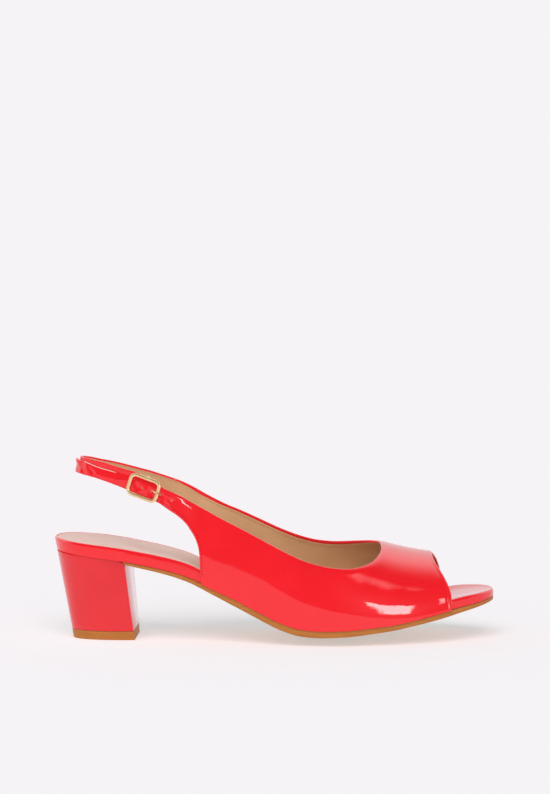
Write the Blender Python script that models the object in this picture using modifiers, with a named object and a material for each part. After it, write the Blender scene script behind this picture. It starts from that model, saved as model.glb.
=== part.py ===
# Open-toe slingback sandal with a block heel, right shoe.
# All sizes are in millimetres and become metres in make_mesh.
# +X points to the toe, -Y to the outer side of the foot, +Z up, floor at zero.
import math

import bpy
import bmesh
from mathutils import Matrix, Vector

# Driving sizes
BACK = -120.0
TOE = 120.0
HEEL_ROUND = 30.0
HEEL_POWER = 2.2
TOE_ROUND = 46.0
TOE_POWER = 2.3
GAP = 0.3
WALL = 1.5
LIFT_HEIGHT = 5.0
HEEL_HEIGHT = 47.0
SEAT_RISE = 4.0
SEAT_DISH = 0.6
FLARE_HEIGHT = 45.0
SOCK_THICK = 1.0
SOCK_INSET = 1.9
SOCK_FRONT = 63.0
SOCK_ROUND = 0.4
SLING_THICK = 1.2
SLING_CLEAR = 0.1
WIRE = 0.8
BAR = 0.55
PRONG = 0.55
SKEW = math.radians(3.0)
FLAT_OUTER = 0.0
FLAT_INNER = 0.45
SOLE_BEND = 1.15
SEAT_BEND = 2.0
RIM_ROUND = 0.8
RIM_WIDTH = 1.7

# Plan of the footbed: x, centre y, half width before the ends are rounded
OUTLINE = (
    (-120, 2.4, 27.5),
    (-90, 0.9, 27.5),
    (-70, -0.4, 26.5),
    (-45, -1.6, 25.2),
    (-20, -2.6, 27.5),
    (0, -3.2, 31.8),
    (20, -2.5, 36.0),
    (40, -1.0, 38.0),
    (60, 1.0, 37.2),
    (80, 2.5, 34.0),
    (100, 4.0, 30.0),
    (120, 5.5, 27.0),
)

# Outsole: x, height of the top edge, thickness, height of the bottom centre, reach past the footbed
SOLE = (
    (-83, 44.4, 0.3, 44.1, -1.0),
    (-79, 43.7, 1.4, 42.3, -0.4),
    (-60, 39.7, 1.9, 37.3, 0.0),
    (-47, 35.8, 2.3, 32.7, 0.2),
    (-34, 29.8, 2.7, 25.6, 0.9),
    (-21, 24.0, 3.5, 18.2, 1.2),
    (-8, 17.5, 3.6, 10.6, 1.2),
    (5, 11.7, 3.7, 3.5, 1.2),
    (14, 9.3, 3.7, 0.8, 1.2),
    (22, 8.5, 3.65, 0.0, 1.2),
    (26, 8.4, 3.6, 0.0, 1.2),
    (38, 8.7, 3.4, 0.0, 1.2),
    (50, 9.7, 3.2, 1.2, 1.2),
    (63, 11.1, 2.9, 3.6, 1.2),
    (76, 13.5, 2.8, 6.8, 1.2),
    (89, 16.4, 3.0, 10.4, 1.1),
    (102, 19.1, 2.7, 14.6, 0.2),
    (110, 20.4, 2.3, 17.0, 0.0),
    (120, 22.4, 1.9, 20.4, 0.0),
)

# Footbed: x, thickness at the rim, tuck of the edge inside the upper, depth of the seat, draw of the bottom
BOARD = (
    (-120, 7.0, 0.0, 1.4, 1.1),
    (-95, 7.1, 0.0, 1.4, 1.1),
    (-80, 6.8, 0.0, 1.4, 0.0),
    (-60, 7.0, 0.0, 1.4, 0.0),
    (-45, 7.2, 0.3, 1.4, 0.0),
    (-30, 6.4, 1.0, 1.4, 0.0),
    (0, 5.0, 1.0, 1.3, 0.0),
    (60, 5.0, 1.0, 1.0, 0.0),
    (80, 5.1, 1.0, 0.2, 0.0),
    (86, 5.2, 1.0, 0.0, 0.0),
    (99, 5.3, 0.3, 0.0, 0.0),
    (106, 5.1, 0.0, 0.0, 0.0),
    (113, 4.6, 0.0, 0.0, 0.0),
    (120, 3.6, 0.0, 0.0, 0.0),
)

# Heel: share of the height, back x, breast x, half width, centre y, roundness of the back
HEEL = (
    (0.0, -109.8, -75.2, 15.5, 1.0, 2.6),
    (1.0, -118.6, -79.6, 26.2, 1.4, 2.8),
)

# Sections of the upper: x, crest y, then outer and inner crest z, fullness and flare
SECTION = (
    (-75, 1.0, 175.0, 175.0, 2.80, 3.20, -2.0, 1.0),
    (-60, 1.0, 160.0, 165.0, 2.70, 3.20, -0.2, 3.5),
    (-40, 1.0, 118.0, 150.0, 2.10, 3.10, 0.0, 4.2),
    (-20, 1.5, 113.0, 118.0, 2.15, 2.90, 0.0, 3.2),
    (0, 2.0, 89.0, 89.0, 2.45, 2.70, 0.0, 1.6),
    (20, 3.0, 69.0, 69.0, 2.60, 2.50, 0.0, 0.6),
    (40, 4.5, 58.0, 58.0, 2.50, 2.30, 0.0, 0.0),
    (58, 6.0, 52.0, 52.0, 2.30, 2.20, 0.0, 0.0),
    (74, 7.0, 48.0, 48.0, 2.10, 2.15, 0.0, 0.0),
    (88, 8.0, 45.6, 45.6, 2.00, 2.15, 0.0, 0.0),
    (100, 8.5, 43.0, 43.0, 2.00, 2.15, 0.0, 0.0),
)

# Strap that runs on from the outer quarter: low x, y, z and top x, y, z, back end first
STRAP = (
    (-108.6, 2.5, 90.9, -108.8, 2.5, 98.2),
    (-108.4, -1.5, 90.4, -108.8, -1.5, 98.0),
    (-106.2, -5.8, 90.1, -106.4, -5.6, 97.6),
    (-102.6, -9.6, 89.5, -102.2, -9.8, 96.4),
    (-97.4, -13.5, 88.5, -96.4, -13.9, 94.6),
    (-91.6, -16.9, 86.9, -89.9, -17.5, 93.1),
    (-85.4, -20.0, 85.0, -83.2, -20.7, 91.8),
    (-79.1, -22.5, 82.7, -76.3, -23.4, 91.5),
    (-72.7, -24.8, 80.25, -69.8, -25.6, 89.4),
    (-66.6, -26.7, 78.2, -63.9, -27.4, 87.4),
)

# Outer quarter, back edge to sole: low x, low z, top x, top z
OUTER_QUARTER = (
    (-60.8, 75.5, -59.2, 84.4),
    (-57.0, 72.7, -55.4, 82.8),
    (-53.0, 70.0, -51.0, 80.7),
    (-49.7, 67.3, -47.0, 78.6),
    (-47.1, 64.6, -43.4, 76.5),
    (-45.2, 61.8, -40.2, 74.7),
    (-43.5, 59.1, -37.6, 73.2),
    (-42.2, 56.4, -35.2, 71.9),
    (-40.9, 52.3, -32.2, 70.2),
    (-40.2, 47.4, -29.2, 68.6),
    (-39.9, 40.9, -26.4, 67.1),
    (-39.6, 34.0, -24.0, 65.9),
)

# Outer side along the sole: low x, top x, top z
OUTER_SIDE = (
    (-39.6, -24.0, 65.9),
    (-30.0, -17.0, 62.4),
    (-18.0, -8.0, 57.7),
    (-4.0, 3.0, 52.1),
    (12.0, 14.0, 46.9),
    (28.0, 25.0, 43.7),
    (44.0, 34.0, 42.3),
    (60.0, 41.0, 42.1),
    (74.0, 45.8, 42.8),
    (86.0, 49.2, 43.7),
    (95.8, 51.7, 44.5),
)

# Outer half of the toe opening: low x, low share of the girth, top x, top share of the girth
OUTER_TOE = (
    (95.8, 0.0, 51.7, 0.538),
    (96.1, 0.10, 53.4, 0.577),
    (96.0, 0.18, 54.9, 0.618),
    (95.4, 0.26, 56.1, 0.665),
    (94.3, 0.34, 57.0, 0.710),
    (92.9, 0.42, 57.6, 0.755),
    (91.2, 0.51, 58.0, 0.800),
    (89.0, 0.61, 58.2, 0.850),
    (87.0, 0.73, 58.1, 0.905),
    (86.0, 1.0, 57.7, 1.0),
)

# Inner half of the toe opening, from the crest down
INNER_TOE = (
    (86.0, 1.0, 57.7, 1.0),
    (86.7, 0.87, 57.1, 0.940),
    (87.9, 0.74, 56.3, 0.892),
    (89.7, 0.60, 55.2, 0.852),
    (91.3, 0.45, 53.8, 0.819),
    (92.6, 0.30, 52.2, 0.789),
    (93.3, 0.15, 50.5, 0.758),
    (93.4, 0.0, 48.6, 0.727),
)

# Inner side along the sole, toe first: low x, top x, top z
INNER_SIDE = (
    (93.4, 48.6, 51.2),
    (84.0, 45.8, 50.9),
    (72.0, 41.9, 50.5),
    (58.0, 36.9, 50.0),
    (44.0, 30.7, 49.8),
    (28.0, 22.5, 50.5),
    (12.0, 13.0, 52.8),
    (-4.0, 2.0, 57.0),
    (-18.0, -9.0, 62.0),
    (-30.0, -18.0, 66.0),
    (-39.2, -24.4, 68.5),
)

# Inner quarter, sole to the tab under the sling strap: low x, low z, top x, top z
INNER_QUARTER = (
    (-39.2, 34.0, -24.4, 68.5),
    (-39.9, 41.0, -27.2, 69.8),
    (-40.2, 47.5, -30.0, 71.2),
    (-40.9, 52.5, -32.8, 72.7),
    (-42.4, 57.5, -35.6, 74.2),
    (-44.0, 61.0, -38.2, 75.6),
    (-46.0, 64.2, -41.2, 77.2),
    (-48.8, 67.8, -44.6, 79.1),
    (-52.0, 71.0, -48.4, 81.1),
    (-55.6, 74.0, -52.6, 83.1),
)

# Sling strap from the inner quarter round the back: x, y, z of the middle, half width
SLING = (
    (-39.6, 31.2, 71.9, 3.6),
    (-45.6, 31.1, 74.8, 4.1),
    (-51.6, 30.9, 77.5, 4.4),
    (-57.0, 29.9, 79.7, 4.4),
    (-63.2, 27.4, 82.1, 4.4),
    (-69.6, 24.1, 84.5, 4.4),
    (-76.0, 20.7, 86.6, 4.4),
    (-82.4, 17.2, 88.7, 4.4),
    (-89.0, 13.6, 90.8, 4.3),
    (-95.6, 9.7, 92.6, 4.2),
    (-101.2, 5.9, 94.3, 4.1),
    (-104.6, 2.0, 95.2, 4.0),
    (-105.2, -1.4, 95.3, 4.0),
    (-103.4, -5.0, 95.0, 4.0),
    (-99.6, -8.5, 94.2, 4.1),
    (-94.4, -12.0, 93.2, 4.2),
    (-88.2, -15.5, 91.5, 4.3),
    (-82.0, -18.5, 89.8, 4.4),
)

# Buckle: middle on the face of the strap, lean of the strap in plan and in slope
BUCKLE_AT = Vector((-70.2, -25.5, 84.6))
BUCKLE_TURN = math.radians(-18.1)
BUCKLE_SLOPE = math.radians(-17.8)
BUCKLE_LONG = 18.7
BUCKLE_HIGH = 12.8
BUCKLE_CORNER = 3.0
BUCKLE_ARCH = 0.001
BUCKLE_CLEAR = 0.05
POST_OUT = 0.15
HOLE_CLEAR = 0.4
BAR_DEPTH = WALL + GAP + SLING_THICK + GAP + BAR + SLING_CLEAR
LOOP_RADIUS = BAR + GAP + SLING_THICK / 2
LOOP_STEPS = 8
PRONG_REACH = 9.6
SLOT_MIDDLE = -4.425
SLOT_SIZE = (6.0, 2.2, 5.55)

# Sling strap under the buckle: along, across, extra depth
SLING_NEAR = (
    (-6.5, 1.6, 0.35),
    (-3.2, 0.55, 0.08),
    (0.0, 0.0, 0.0),
)

# Sling strap turned back behind the bar: along, across, rise
SLING_TAIL = (
    (0.0, 0.0, 0.0),
    (-3.2, 0.1, -0.05),
    (-6.5, 0.25, 0.1),
    (-10.0, 0.4, 0.35),
)

ALONG = Vector((
    math.cos(BUCKLE_TURN) * math.cos(BUCKLE_SLOPE),
    math.sin(BUCKLE_TURN) * math.cos(BUCKLE_SLOPE),
    math.sin(BUCKLE_SLOPE),
))
OUTWARD = Vector((math.sin(BUCKLE_TURN), -math.cos(BUCKLE_TURN), 0.0))
ACROSS = OUTWARD.cross(ALONG).normalized()

# Colours and finish: name, red, green, blue, roughness, metallic
FINISH = (
    ("red_patent", 0.80, 0.02, 0.03, 0.18, 0.0),
    ("tan_sole", 0.52, 0.19, 0.05, 0.55, 0.0),
    ("beige_lining", 0.64, 0.40, 0.28, 0.60, 0.0),
    ("gold_metal", 0.83, 0.62, 0.30, 0.25, 1.0),
)


# Shared helpers

def smooth(table, x, col):
    last = len(table) - 1
    if x <= table[0][0]:
        return table[0][col]
    if x >= table[last][0]:
        return table[last][col]
    row = 0
    while x > table[row + 1][0]:
        row += 1

    def rise(i):
        return (table[i + 1][col] - table[i][col]) / (table[i + 1][0] - table[i][0])

    def slope(i):
        if i == 0:
            return rise(0)
        if i == last:
            return rise(last - 1)
        before = rise(i - 1)
        after = rise(i)
        if before * after <= 0:
            return 0.0
        return 2 * before * after / (before + after)

    step = table[row + 1][0] - table[row][0]
    t = (x - table[row][0]) / step
    start = table[row][col]
    stop = table[row + 1][col]
    bend = slope(row) * step
    bend_next = slope(row + 1) * step
    value = (2 * t ** 3 - 3 * t ** 2 + 1) * start + (t ** 3 - 2 * t ** 2 + t) * bend
    return value + (3 * t ** 2 - 2 * t ** 3) * stop + (t ** 3 - t ** 2) * bend_next


def through(rows, steps):
    # Points of a smooth curve through rows of equal length, with steps points per gap
    out = []
    last = len(rows) - 1
    for i in range(last):
        before = rows[max(i - 1, 0)]
        here = rows[i]
        there = rows[i + 1]
        after = rows[min(i + 2, last)]
        for k in range(steps):
            t = k / steps
            point = []
            for a, b, c, d in zip(before, here, there, after):
                bend = (c - a) / 2 if i > 0 else b * -1.5 + c * 2 - d * 0.5
                bend_next = (d - b) / 2 if i < last - 1 else c * 1.5 - b * 2 + a * 0.5
                value = (2 * t ** 3 - 3 * t ** 2 + 1) * b + (t ** 3 - 2 * t ** 2 + t) * bend
                value += (3 * t ** 2 - 2 * t ** 3) * c + (t ** 3 - t ** 2) * bend_next
                point.append(value)
            out.append(tuple(point))
    out.append(tuple(rows[last]))
    return out


def spread(start, stop, count):
    # Positions that crowd towards both ends
    middle = (start + stop) / 2
    reach = (stop - start) / 2
    return [middle - reach * math.cos(math.pi * k / count) for k in range(count + 1)]


def centre(x):
    return smooth(OUTLINE, x, 1)


def half(x):
    width = smooth(OUTLINE, x, 2)
    if x < BACK + HEEL_ROUND:
        u = min(1.0, (BACK + HEEL_ROUND - x) / HEEL_ROUND)
        width *= (1 - u ** HEEL_POWER) ** (1 / HEEL_POWER)
    if x > TOE - TOE_ROUND:
        u = min(1.0, (x - TOE + TOE_ROUND) / TOE_ROUND)
        width *= (1 - u ** TOE_POWER) ** (1 / TOE_POWER)
    return width


def edge(x, side, reach):
    # Footbed edge moved outwards by reach, measured square to the edge
    a = max(BACK + 0.2, min(TOE - 0.2, x))
    ahead = centre(a + 0.1) + side * half(a + 0.1)
    behind = centre(a - 0.1) + side * half(a - 0.1)
    lean = (ahead - behind) / 0.2
    stretch = min(2.5, math.sqrt(1 + lean * lean))
    return centre(x) + side * max(0.4, half(x) + reach * stretch)


def dish(x, f, bend):
    # Drop of the sole below its edge at f, -1 and 1 being the outer and inner edge
    drop = smooth(SOLE, x, 1) - smooth(SOLE, x, 2) - smooth(SOLE, x, 3)
    start = FLAT_INNER if f > 0 else FLAT_OUTER
    rise = max(0.0, min(1.0, abs(f)) - start) / (1 - start)
    return drop * (1 - rise ** (SEAT_BEND if f > 0 else bend))


def sole_top(x, f):
    return smooth(SOLE, x, 1) - dish(x, f, SOLE_BEND)


def board_bottom(x, f):
    if x < SOLE[0][0]:
        share = (SOLE[0][0] - x) / (SOLE[0][0] - BACK)
        return SOLE[0][1] + GAP + share * SEAT_RISE
    return sole_top(x, f) + GAP


def board_rim(x):
    return board_bottom(x, 1.0) + smooth(BOARD, x, 1)


def seat(x, f):
    # Top of the footbed inside its rim
    drop = smooth(BOARD, x, 3)
    if x > SOLE[0][0]:
        drop += dish(x, f, SEAT_BEND) * SEAT_DISH
    return board_rim(x) - drop


def make_mesh(name, points, faces, finish, home):
    mesh = bpy.data.meshes.new(name)
    mesh.from_pydata([(x * 0.001, y * 0.001, z * 0.001) for x, y, z in points], [], faces)
    work = bmesh.new()
    work.from_mesh(mesh)
    bmesh.ops.recalc_face_normals(work, faces=work.faces)
    work.to_mesh(mesh)
    work.free()
    obj = bpy.data.objects.new(name, mesh)
    home.objects.link(obj)
    if finish:
        mesh.materials.append(finish)
    return obj


def ring_sides(rings):
    # Points of the rings and the faces between them
    count = len(rings[0])
    points = [point for ring in rings for point in ring]
    faces = []
    for r in range(len(rings) - 1):
        for k in range(count):
            a = r * count + k
            b = r * count + (k + 1) % count
            faces.append((a, b, b + count, a + count))
    return points, faces


def loft(name, rings, finish, home):
    # Closed solid through rings of equal count, with flat ends
    count = len(rings[0])
    points, faces = ring_sides(rings)
    faces.append(tuple(range(count)))
    faces.append(tuple(range((len(rings) - 1) * count, len(rings) * count)))
    return make_mesh(name, points, faces, finish, home)


def sheet(name, ribs, finish, home):
    # Open surface through ribs of equal count
    count = len(ribs[0])
    points = [point for rib in ribs for point in rib]
    faces = []
    for r in range(len(ribs) - 1):
        for k in range(count - 1):
            a = r * count + k
            faces.append((a, a + 1, a + count + 1, a + count))
    return make_mesh(name, points, faces, finish, home)


def thicken(obj, thick, offset):
    shell = obj.modifiers.new("wall", "SOLIDIFY")
    shell.thickness = thick * 0.001
    shell.offset = offset
    shell.use_even_offset = True
    return shell


def box(name, place, size, home):
    # Box in the buckle's own directions
    mesh = bpy.data.meshes.new(name)
    work = bmesh.new()
    bmesh.ops.create_cube(work, size=0.001)
    turn = Matrix((ALONG * size[0], ACROSS * size[1], OUTWARD * size[2])).transposed().to_4x4()
    bmesh.ops.transform(work, matrix=Matrix.Translation(Vector(place) * 0.001) @ turn, verts=work.verts)
    work.to_mesh(mesh)
    work.free()
    obj = bpy.data.objects.new(name, mesh)
    home.objects.link(obj)
    return obj


def cut(obj, cutter, operation):
    step = obj.modifiers.new(cutter.name, "BOOLEAN")
    step.operation = operation
    step.solver = "EXACT"
    step.object = cutter


def local(a, b, c):
    # Buckle place: a along the strap to the toe, b up across it, c out of it
    return tuple(BUCKLE_AT + ALONG * a + ACROSS * b + OUTWARD * c)


def wire(name, path, radius, closed, finish, home):
    # Round wire as a bevelled curve
    curve = bpy.data.curves.new(name, "CURVE")
    curve.dimensions = "3D"
    curve.bevel_depth = radius * 0.001
    curve.bevel_resolution = 2
    curve.use_fill_caps = True
    spline = curve.splines.new("POLY")
    spline.points.add(len(path) - 1)
    for spot, place in zip(spline.points, path):
        spot.co = (place[0] * 0.001, place[1] * 0.001, place[2] * 0.001, 1.0)
    spline.use_cyclic_u = closed
    obj = bpy.data.objects.new(name, curve)
    home.objects.link(obj)
    if finish:
        curve.materials.append(finish)
    return obj


def wire_mesh(name, path, radius, closed, finish, home):
    # The same wire as a closed mesh, for pieces that are cut or joined
    rod = wire(name + "_curve", path, radius, closed, finish, home)
    bpy.context.view_layer.update()
    ready = rod.evaluated_get(bpy.context.evaluated_depsgraph_get())
    mesh = bpy.data.meshes.new_from_object(ready)
    mesh.name = name
    work = bmesh.new()
    work.from_mesh(mesh)
    bmesh.ops.remove_doubles(work, verts=work.verts, dist=0.000001)
    bmesh.ops.recalc_face_normals(work, faces=work.faces)
    work.to_mesh(mesh)
    work.free()
    obj = bpy.data.objects.new(name, mesh)
    home.objects.link(obj)
    bpy.data.objects.remove(rod)
    return obj


# Sole pieces

# Places across the sole; it is flat from FLAT_OUTER to FLAT_INNER
ACROSS_SHARES = (-1.0, -0.8, -0.55, -0.3, -FLAT_OUTER, 0.2, FLAT_INNER, 0.65, 0.83, 1.0)


def build_outsole(finish, home):
    spots = [-83.0, -81.0, -79.0, -74.0, -67.0, -60.0, -53.0, -47.0, -40.5, -34.0, -27.5, -21.0]
    spots += [-14.5, -8.0, -1.5, 5.0, 9.5, 14.0, 18.0, 22.0, 26.0, 32.0, 38.0, 44.0, 50.0, 56.5, 63.0]
    spots += [69.5, 76.0, 82.5, 89.0, 95.5, 102.0, 106.0, 110.0, 113.0, 115.5, 117.5, 118.8, 119.6]
    rings = []
    for x in spots:
        reach = smooth(SOLE, x, 4)
        left = edge(x, -1, reach)
        right = edge(x, 1, reach)
        row = [(left + right) / 2 + (right - left) / 2 * f for f in ACROSS_SHARES]
        thick = smooth(SOLE, x, 2)
        ring = [(x, y, sole_top(x, f) - thick) for y, f in zip(row, ACROSS_SHARES)]
        ring += [(x, y, sole_top(x, f)) for y, f in reversed(list(zip(row, ACROSS_SHARES)))]
        rings.append(ring)
    return loft("outsole", rings, finish, home)


def board_spots():
    spots = [x for x in spread(BACK + 0.1, -60.0, 14) if x < -62.0]
    spots += [-60.0, -53.0, -47.0, -40.5, -34.0, -27.5, -21.0, -14.5, -8.0, -1.5, 5.0, 14.0, 26.0]
    spots += [38.0, 50.0, 63.0, 76.0, 86.0, 93.0, 99.0, 104.0, 108.0, 111.5, 114.5, 117.0, 118.8, 119.9]
    return spots


def drawn(x, y, side):
    # Bottom edge of the footbed, drawn in square to the outline
    a = max(BACK + 0.2, min(TOE - 0.2, x))
    lean = (edge(a + 0.1, side, 0.0) - edge(a - 0.1, side, 0.0)) / 0.2
    out = Vector((-side * lean, side)).normalized()
    return Vector((x, y)) - out * smooth(BOARD, x, 4)


def build_footbed(finish, home):
    rings = []
    for x in board_spots():
        inset = -smooth(BOARD, x, 2)
        left = edge(x, -1, inset)
        right = edge(x, 1, inset)
        middle = (left + right) / 2
        reach = (right - left) / 2
        soft = min(RIM_ROUND, reach * 0.25)
        inner = reach - min(RIM_WIDTH, reach * 0.5)
        rim = board_rim(x)
        low_left = drawn(x, left, -1)
        low_right = drawn(x, right, 1)
        ring = []
        for f in ACROSS_SHARES:
            spot = low_left.lerp(low_right, (f + 1) / 2)
            ring.append((spot.x, spot.y, board_bottom(x, f)))
        ring += [(x, right, rim - soft), (x, right - soft * 0.3, rim - soft * 0.3), (x, right - soft, rim)]
        ring += [(x, middle + inner * f, seat(x, f)) for f in reversed(ACROSS_SHARES)]
        ring += [(x, left + soft, rim), (x, left + soft * 0.3, rim - soft * 0.3), (x, left, rim - soft)]
        rings.append(ring)
    return loft("footbed", rings, finish, home)


def build_sock(finish, home):
    rings = []
    for x in board_spots():
        if x < BACK + SOCK_INSET or x > SOCK_FRONT:
            continue
        inset = -smooth(BOARD, x, 2)
        left = edge(x, -1, inset)
        right = edge(x, 1, inset)
        middle = (left + right) / 2
        half_board = (right - left) / 2
        reach = half_board - min(RIM_WIDTH, half_board * 0.5) - 0.2
        ring = [(x, middle + reach * f, seat(x, f) + GAP) for f in ACROSS_SHARES]
        ring.append((x, middle + reach, seat(x, 1.0) + GAP + SOCK_THICK - SOCK_ROUND))
        top = reach - min(SOCK_ROUND, reach * 0.2)
        ring += [(x, middle + top * f, seat(x, f) + GAP + SOCK_THICK) for f in reversed(ACROSS_SHARES)]
        ring.append((x, middle - reach, seat(x, -1.0) + GAP + SOCK_THICK - SOCK_ROUND))
        rings.append(ring)
    return loft("insole_sock", rings, finish, home)


# Heel and lift

def heel_ring(share, level):
    # Flat breast, straight sides and a rounded back; level gives the height at a place
    low, top = HEEL
    row = [a + (b - a) * share for a, b in zip(low, top)]
    back, breast, width, middle, power = row[1:]
    count = 18
    side = []
    for k in range(count + 1):
        turn = math.pi / 2 * k / count
        x = breast + (back - breast) * math.sin(turn) ** (2 / power)
        y = width * math.cos(turn) ** (2 / power)
        side.append((x, y))
    ring = []
    for x, y in side:
        ring.append((x - math.tan(SKEW) * y * (x - back) / (breast - back), middle - y))
    for x, y in reversed(side[:-1]):
        ring.append((x + math.tan(SKEW) * y * (x - back) / (breast - back), middle + y))
    return [(x, y, level(x)) for x, y in ring]


def heel_top(x):
    # Under the footbed, and lower where the thin end of the outsole lies on the heel
    back, front = SOLE[0], SOLE[1]
    fall = (front[3] - back[3]) / (front[0] - back[0])
    wedge = back[3] + fall * (x - back[0])
    share = (back[0] - x) / (back[0] - BACK)
    return min(back[1] + share * SEAT_RISE, wedge - GAP)


def build_heel(finish, home):
    bottom = LIFT_HEIGHT + 0.05
    shares = (bottom / HEEL_HEIGHT, 0.35, 0.6, 0.8, 0.93, 1.0)

    def level(share):
        part = (share - shares[0]) / (1 - shares[0])
        return lambda x: bottom + part * (heel_top(x) - bottom)

    rings = [heel_ring(share, level(share)) for share in shares]
    count = len(rings[0])
    points, faces = ring_sides(rings)
    faces.append(tuple(range(count)))
    crown = (len(rings) - 1) * count
    for k in range(count // 2):
        a = crown + k
        b = crown + count - 1 - k
        if a + 1 < b - 1:
            faces.append((a, a + 1, b - 1, b))
        else:
            faces.append((a, a + 1, b))
    return make_mesh("heel_block", points, faces, finish, home)


def build_lift(finish, home):
    top = LIFT_HEIGHT - 0.25
    rings = []
    for z in (0.0, top):
        rings.append(heel_ring(z / HEEL_HEIGHT, lambda x: z))
    return loft("top_lift", rings, finish, home)


# Upper

def skin(x, v, side):
    # Outer face of the upper; v runs from the sole edge at 0 to the crest at 1
    crest_y = smooth(SECTION, x, 1)
    crest_z = smooth(SECTION, x, 2 if side < 0 else 3)
    power = smooth(SECTION, x, 4 if side < 0 else 5)
    flare = smooth(SECTION, x, 6 if side < 0 else 7)
    foot = smooth(SOLE, x, 1) + GAP
    width = abs(edge(x, side, GAP + WALL) - crest_y)
    turn = v * math.pi / 2
    z = foot + (crest_z - foot) * max(0.0, math.sin(turn)) ** (2 / power)
    y = width * max(0.0, math.cos(turn)) ** (2 / power) + flare * (z - foot) / FLARE_HEIGHT
    return (x, crest_y + side * y, z)


def girth(x, z, side):
    # Share of the girth at which the outer face reaches height z
    foot = smooth(SOLE, x, 1) + GAP
    power = smooth(SECTION, x, 4 if side < 0 else 5)
    share = (z - foot) / (smooth(SECTION, x, 2 if side < 0 else 3) - foot)
    share = max(0.0, min(1.0, share))
    return math.asin(share ** (power / 2)) * 2 / math.pi


COLUMNS = (0.0, 0.06, 0.15, 0.27, 0.4, 0.54, 0.68, 0.8, 0.9, 0.96, 1.0)


def skin_rib(low_x, low_v, top_x, top_v, side):
    rib = []
    for t in COLUMNS:
        rib.append(skin(low_x + (top_x - low_x) * t, low_v + (top_v - low_v) * t, side))
    return rib


def height_ribs(table, side, steps):
    ribs = []
    for low_x, low_z, top_x, top_z in through(table, steps):
        ribs.append(skin_rib(low_x, girth(low_x, low_z, side), top_x, girth(top_x, top_z, side), side))
    return ribs


def side_ribs(table, side, steps):
    ribs = []
    for low_x, top_x, top_z in through(table, steps):
        ribs.append(skin_rib(low_x, 0.0, top_x, girth(top_x, top_z, side), side))
    return ribs


def toe_ribs(table, side, steps):
    ribs = []
    for low_x, low_v, top_x, top_v in through(table, steps):
        ribs.append(skin_rib(low_x, min(1.0, max(0.0, low_v)), top_x, min(1.0, top_v), side))
    return ribs


def strap_ribs():
    # The strap rides on its own table and meets the first rib of the quarter
    joint = height_ribs(OUTER_QUARTER, -1, 1)[0]
    rows = list(STRAP) + [joint[0] + joint[-1]]
    ribs = []
    for row in through(rows, 3)[:-1]:
        low = Vector(row[:3])
        top = Vector(row[3:])
        ribs.append([tuple(low + (top - low) * t) for t in COLUMNS])
    return ribs


def upper_ribs():
    ribs = strap_ribs()
    ribs += height_ribs(OUTER_QUARTER, -1, 1)[:-1]
    ribs += side_ribs(OUTER_SIDE, -1, 2)
    ribs += toe_ribs(OUTER_TOE, -1, 1)[1:-1]
    ribs += toe_ribs(INNER_TOE, 1, 1)[:-1]
    ribs += side_ribs(INNER_SIDE, 1, 2)
    ribs += height_ribs(INNER_QUARTER, 1, 1)[1:]
    return ribs


def build_upper(finish, home, tools):
    obj = sheet("upper", upper_ribs(), finish, home)
    face_outward(obj, Vector((0.02, 0.0, 0.02)))
    thicken(obj, WALL, -1.0)
    start = local(-0.9, 0.0, -3.0)
    stop = local(8.0, 0.0, 2.4)
    hole = wire_mesh("prong_hole", (start, stop), PRONG + HOLE_CLEAR, False, None, tools)
    cut(obj, hole, "DIFFERENCE")
    return obj


def face_outward(obj, inside):
    # Turn an open surface so that its faces look away from a point inside the shoe
    mesh = obj.data
    score = 0.0
    for poly in mesh.polygons:
        score += poly.normal.dot(poly.center - inside) * poly.area
    if score < 0:
        mesh.flip_normals()


# Sling strap

def sling_path():
    # Middle line and half width, round the foot, under the strap, round the bar and back
    rows = through(SLING, 3)
    path = [Vector(row[:3]) for row in rows]
    halves = [row[3] for row in rows]
    depth = -(WALL + GAP + SLING_THICK / 2 + SLING_CLEAR)
    for a, b, sink in SLING_NEAR:
        path.append(Vector(local(a, b, depth - sink)))
    for k in range(1, LOOP_STEPS):
        turn = math.pi / 2 - math.pi * k / LOOP_STEPS
        path.append(Vector(local(
            LOOP_RADIUS * math.cos(turn), 0.0, -BAR_DEPTH + LOOP_RADIUS * math.sin(turn))))
    for a, b, rise in SLING_TAIL:
        path.append(Vector(local(a, b, -BAR_DEPTH - LOOP_RADIUS + rise)))
    halves += [halves[-1]] * (len(path) - len(halves))
    return path, halves


def build_sling(finish, home, tools):
    path, halves = sling_path()
    under_buckle = len(path) - len(SLING_NEAR) - len(SLING_TAIL) - LOOP_STEPS + 1
    ribs = []
    for i, spot in enumerate(path):
        ahead = (path[min(i + 1, len(path) - 1)] - path[max(i - 1, 0)]).normalized()
        guide = ACROSS if i > under_buckle else Vector((0.0, 0.0, 1.0))
        tip = (guide - ahead * guide.dot(ahead)).normalized()
        ribs.append([tuple(spot + tip * halves[i] * t) for t in (-1.0, -0.5, 0.0, 0.5, 1.0)])
    obj = sheet("sling_strap", ribs, finish, home)
    thicken(obj, SLING_THICK, 0.0)
    slot = box("prong_slot", local(0.0, 0.0, SLOT_MIDDLE), SLOT_SIZE, tools)
    cut(obj, slot, "DIFFERENCE")
    return obj


# Buckle

def arch(a):
    return WIRE + GAP + BUCKLE_CLEAR - BUCKLE_ARCH * a * a


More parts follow.
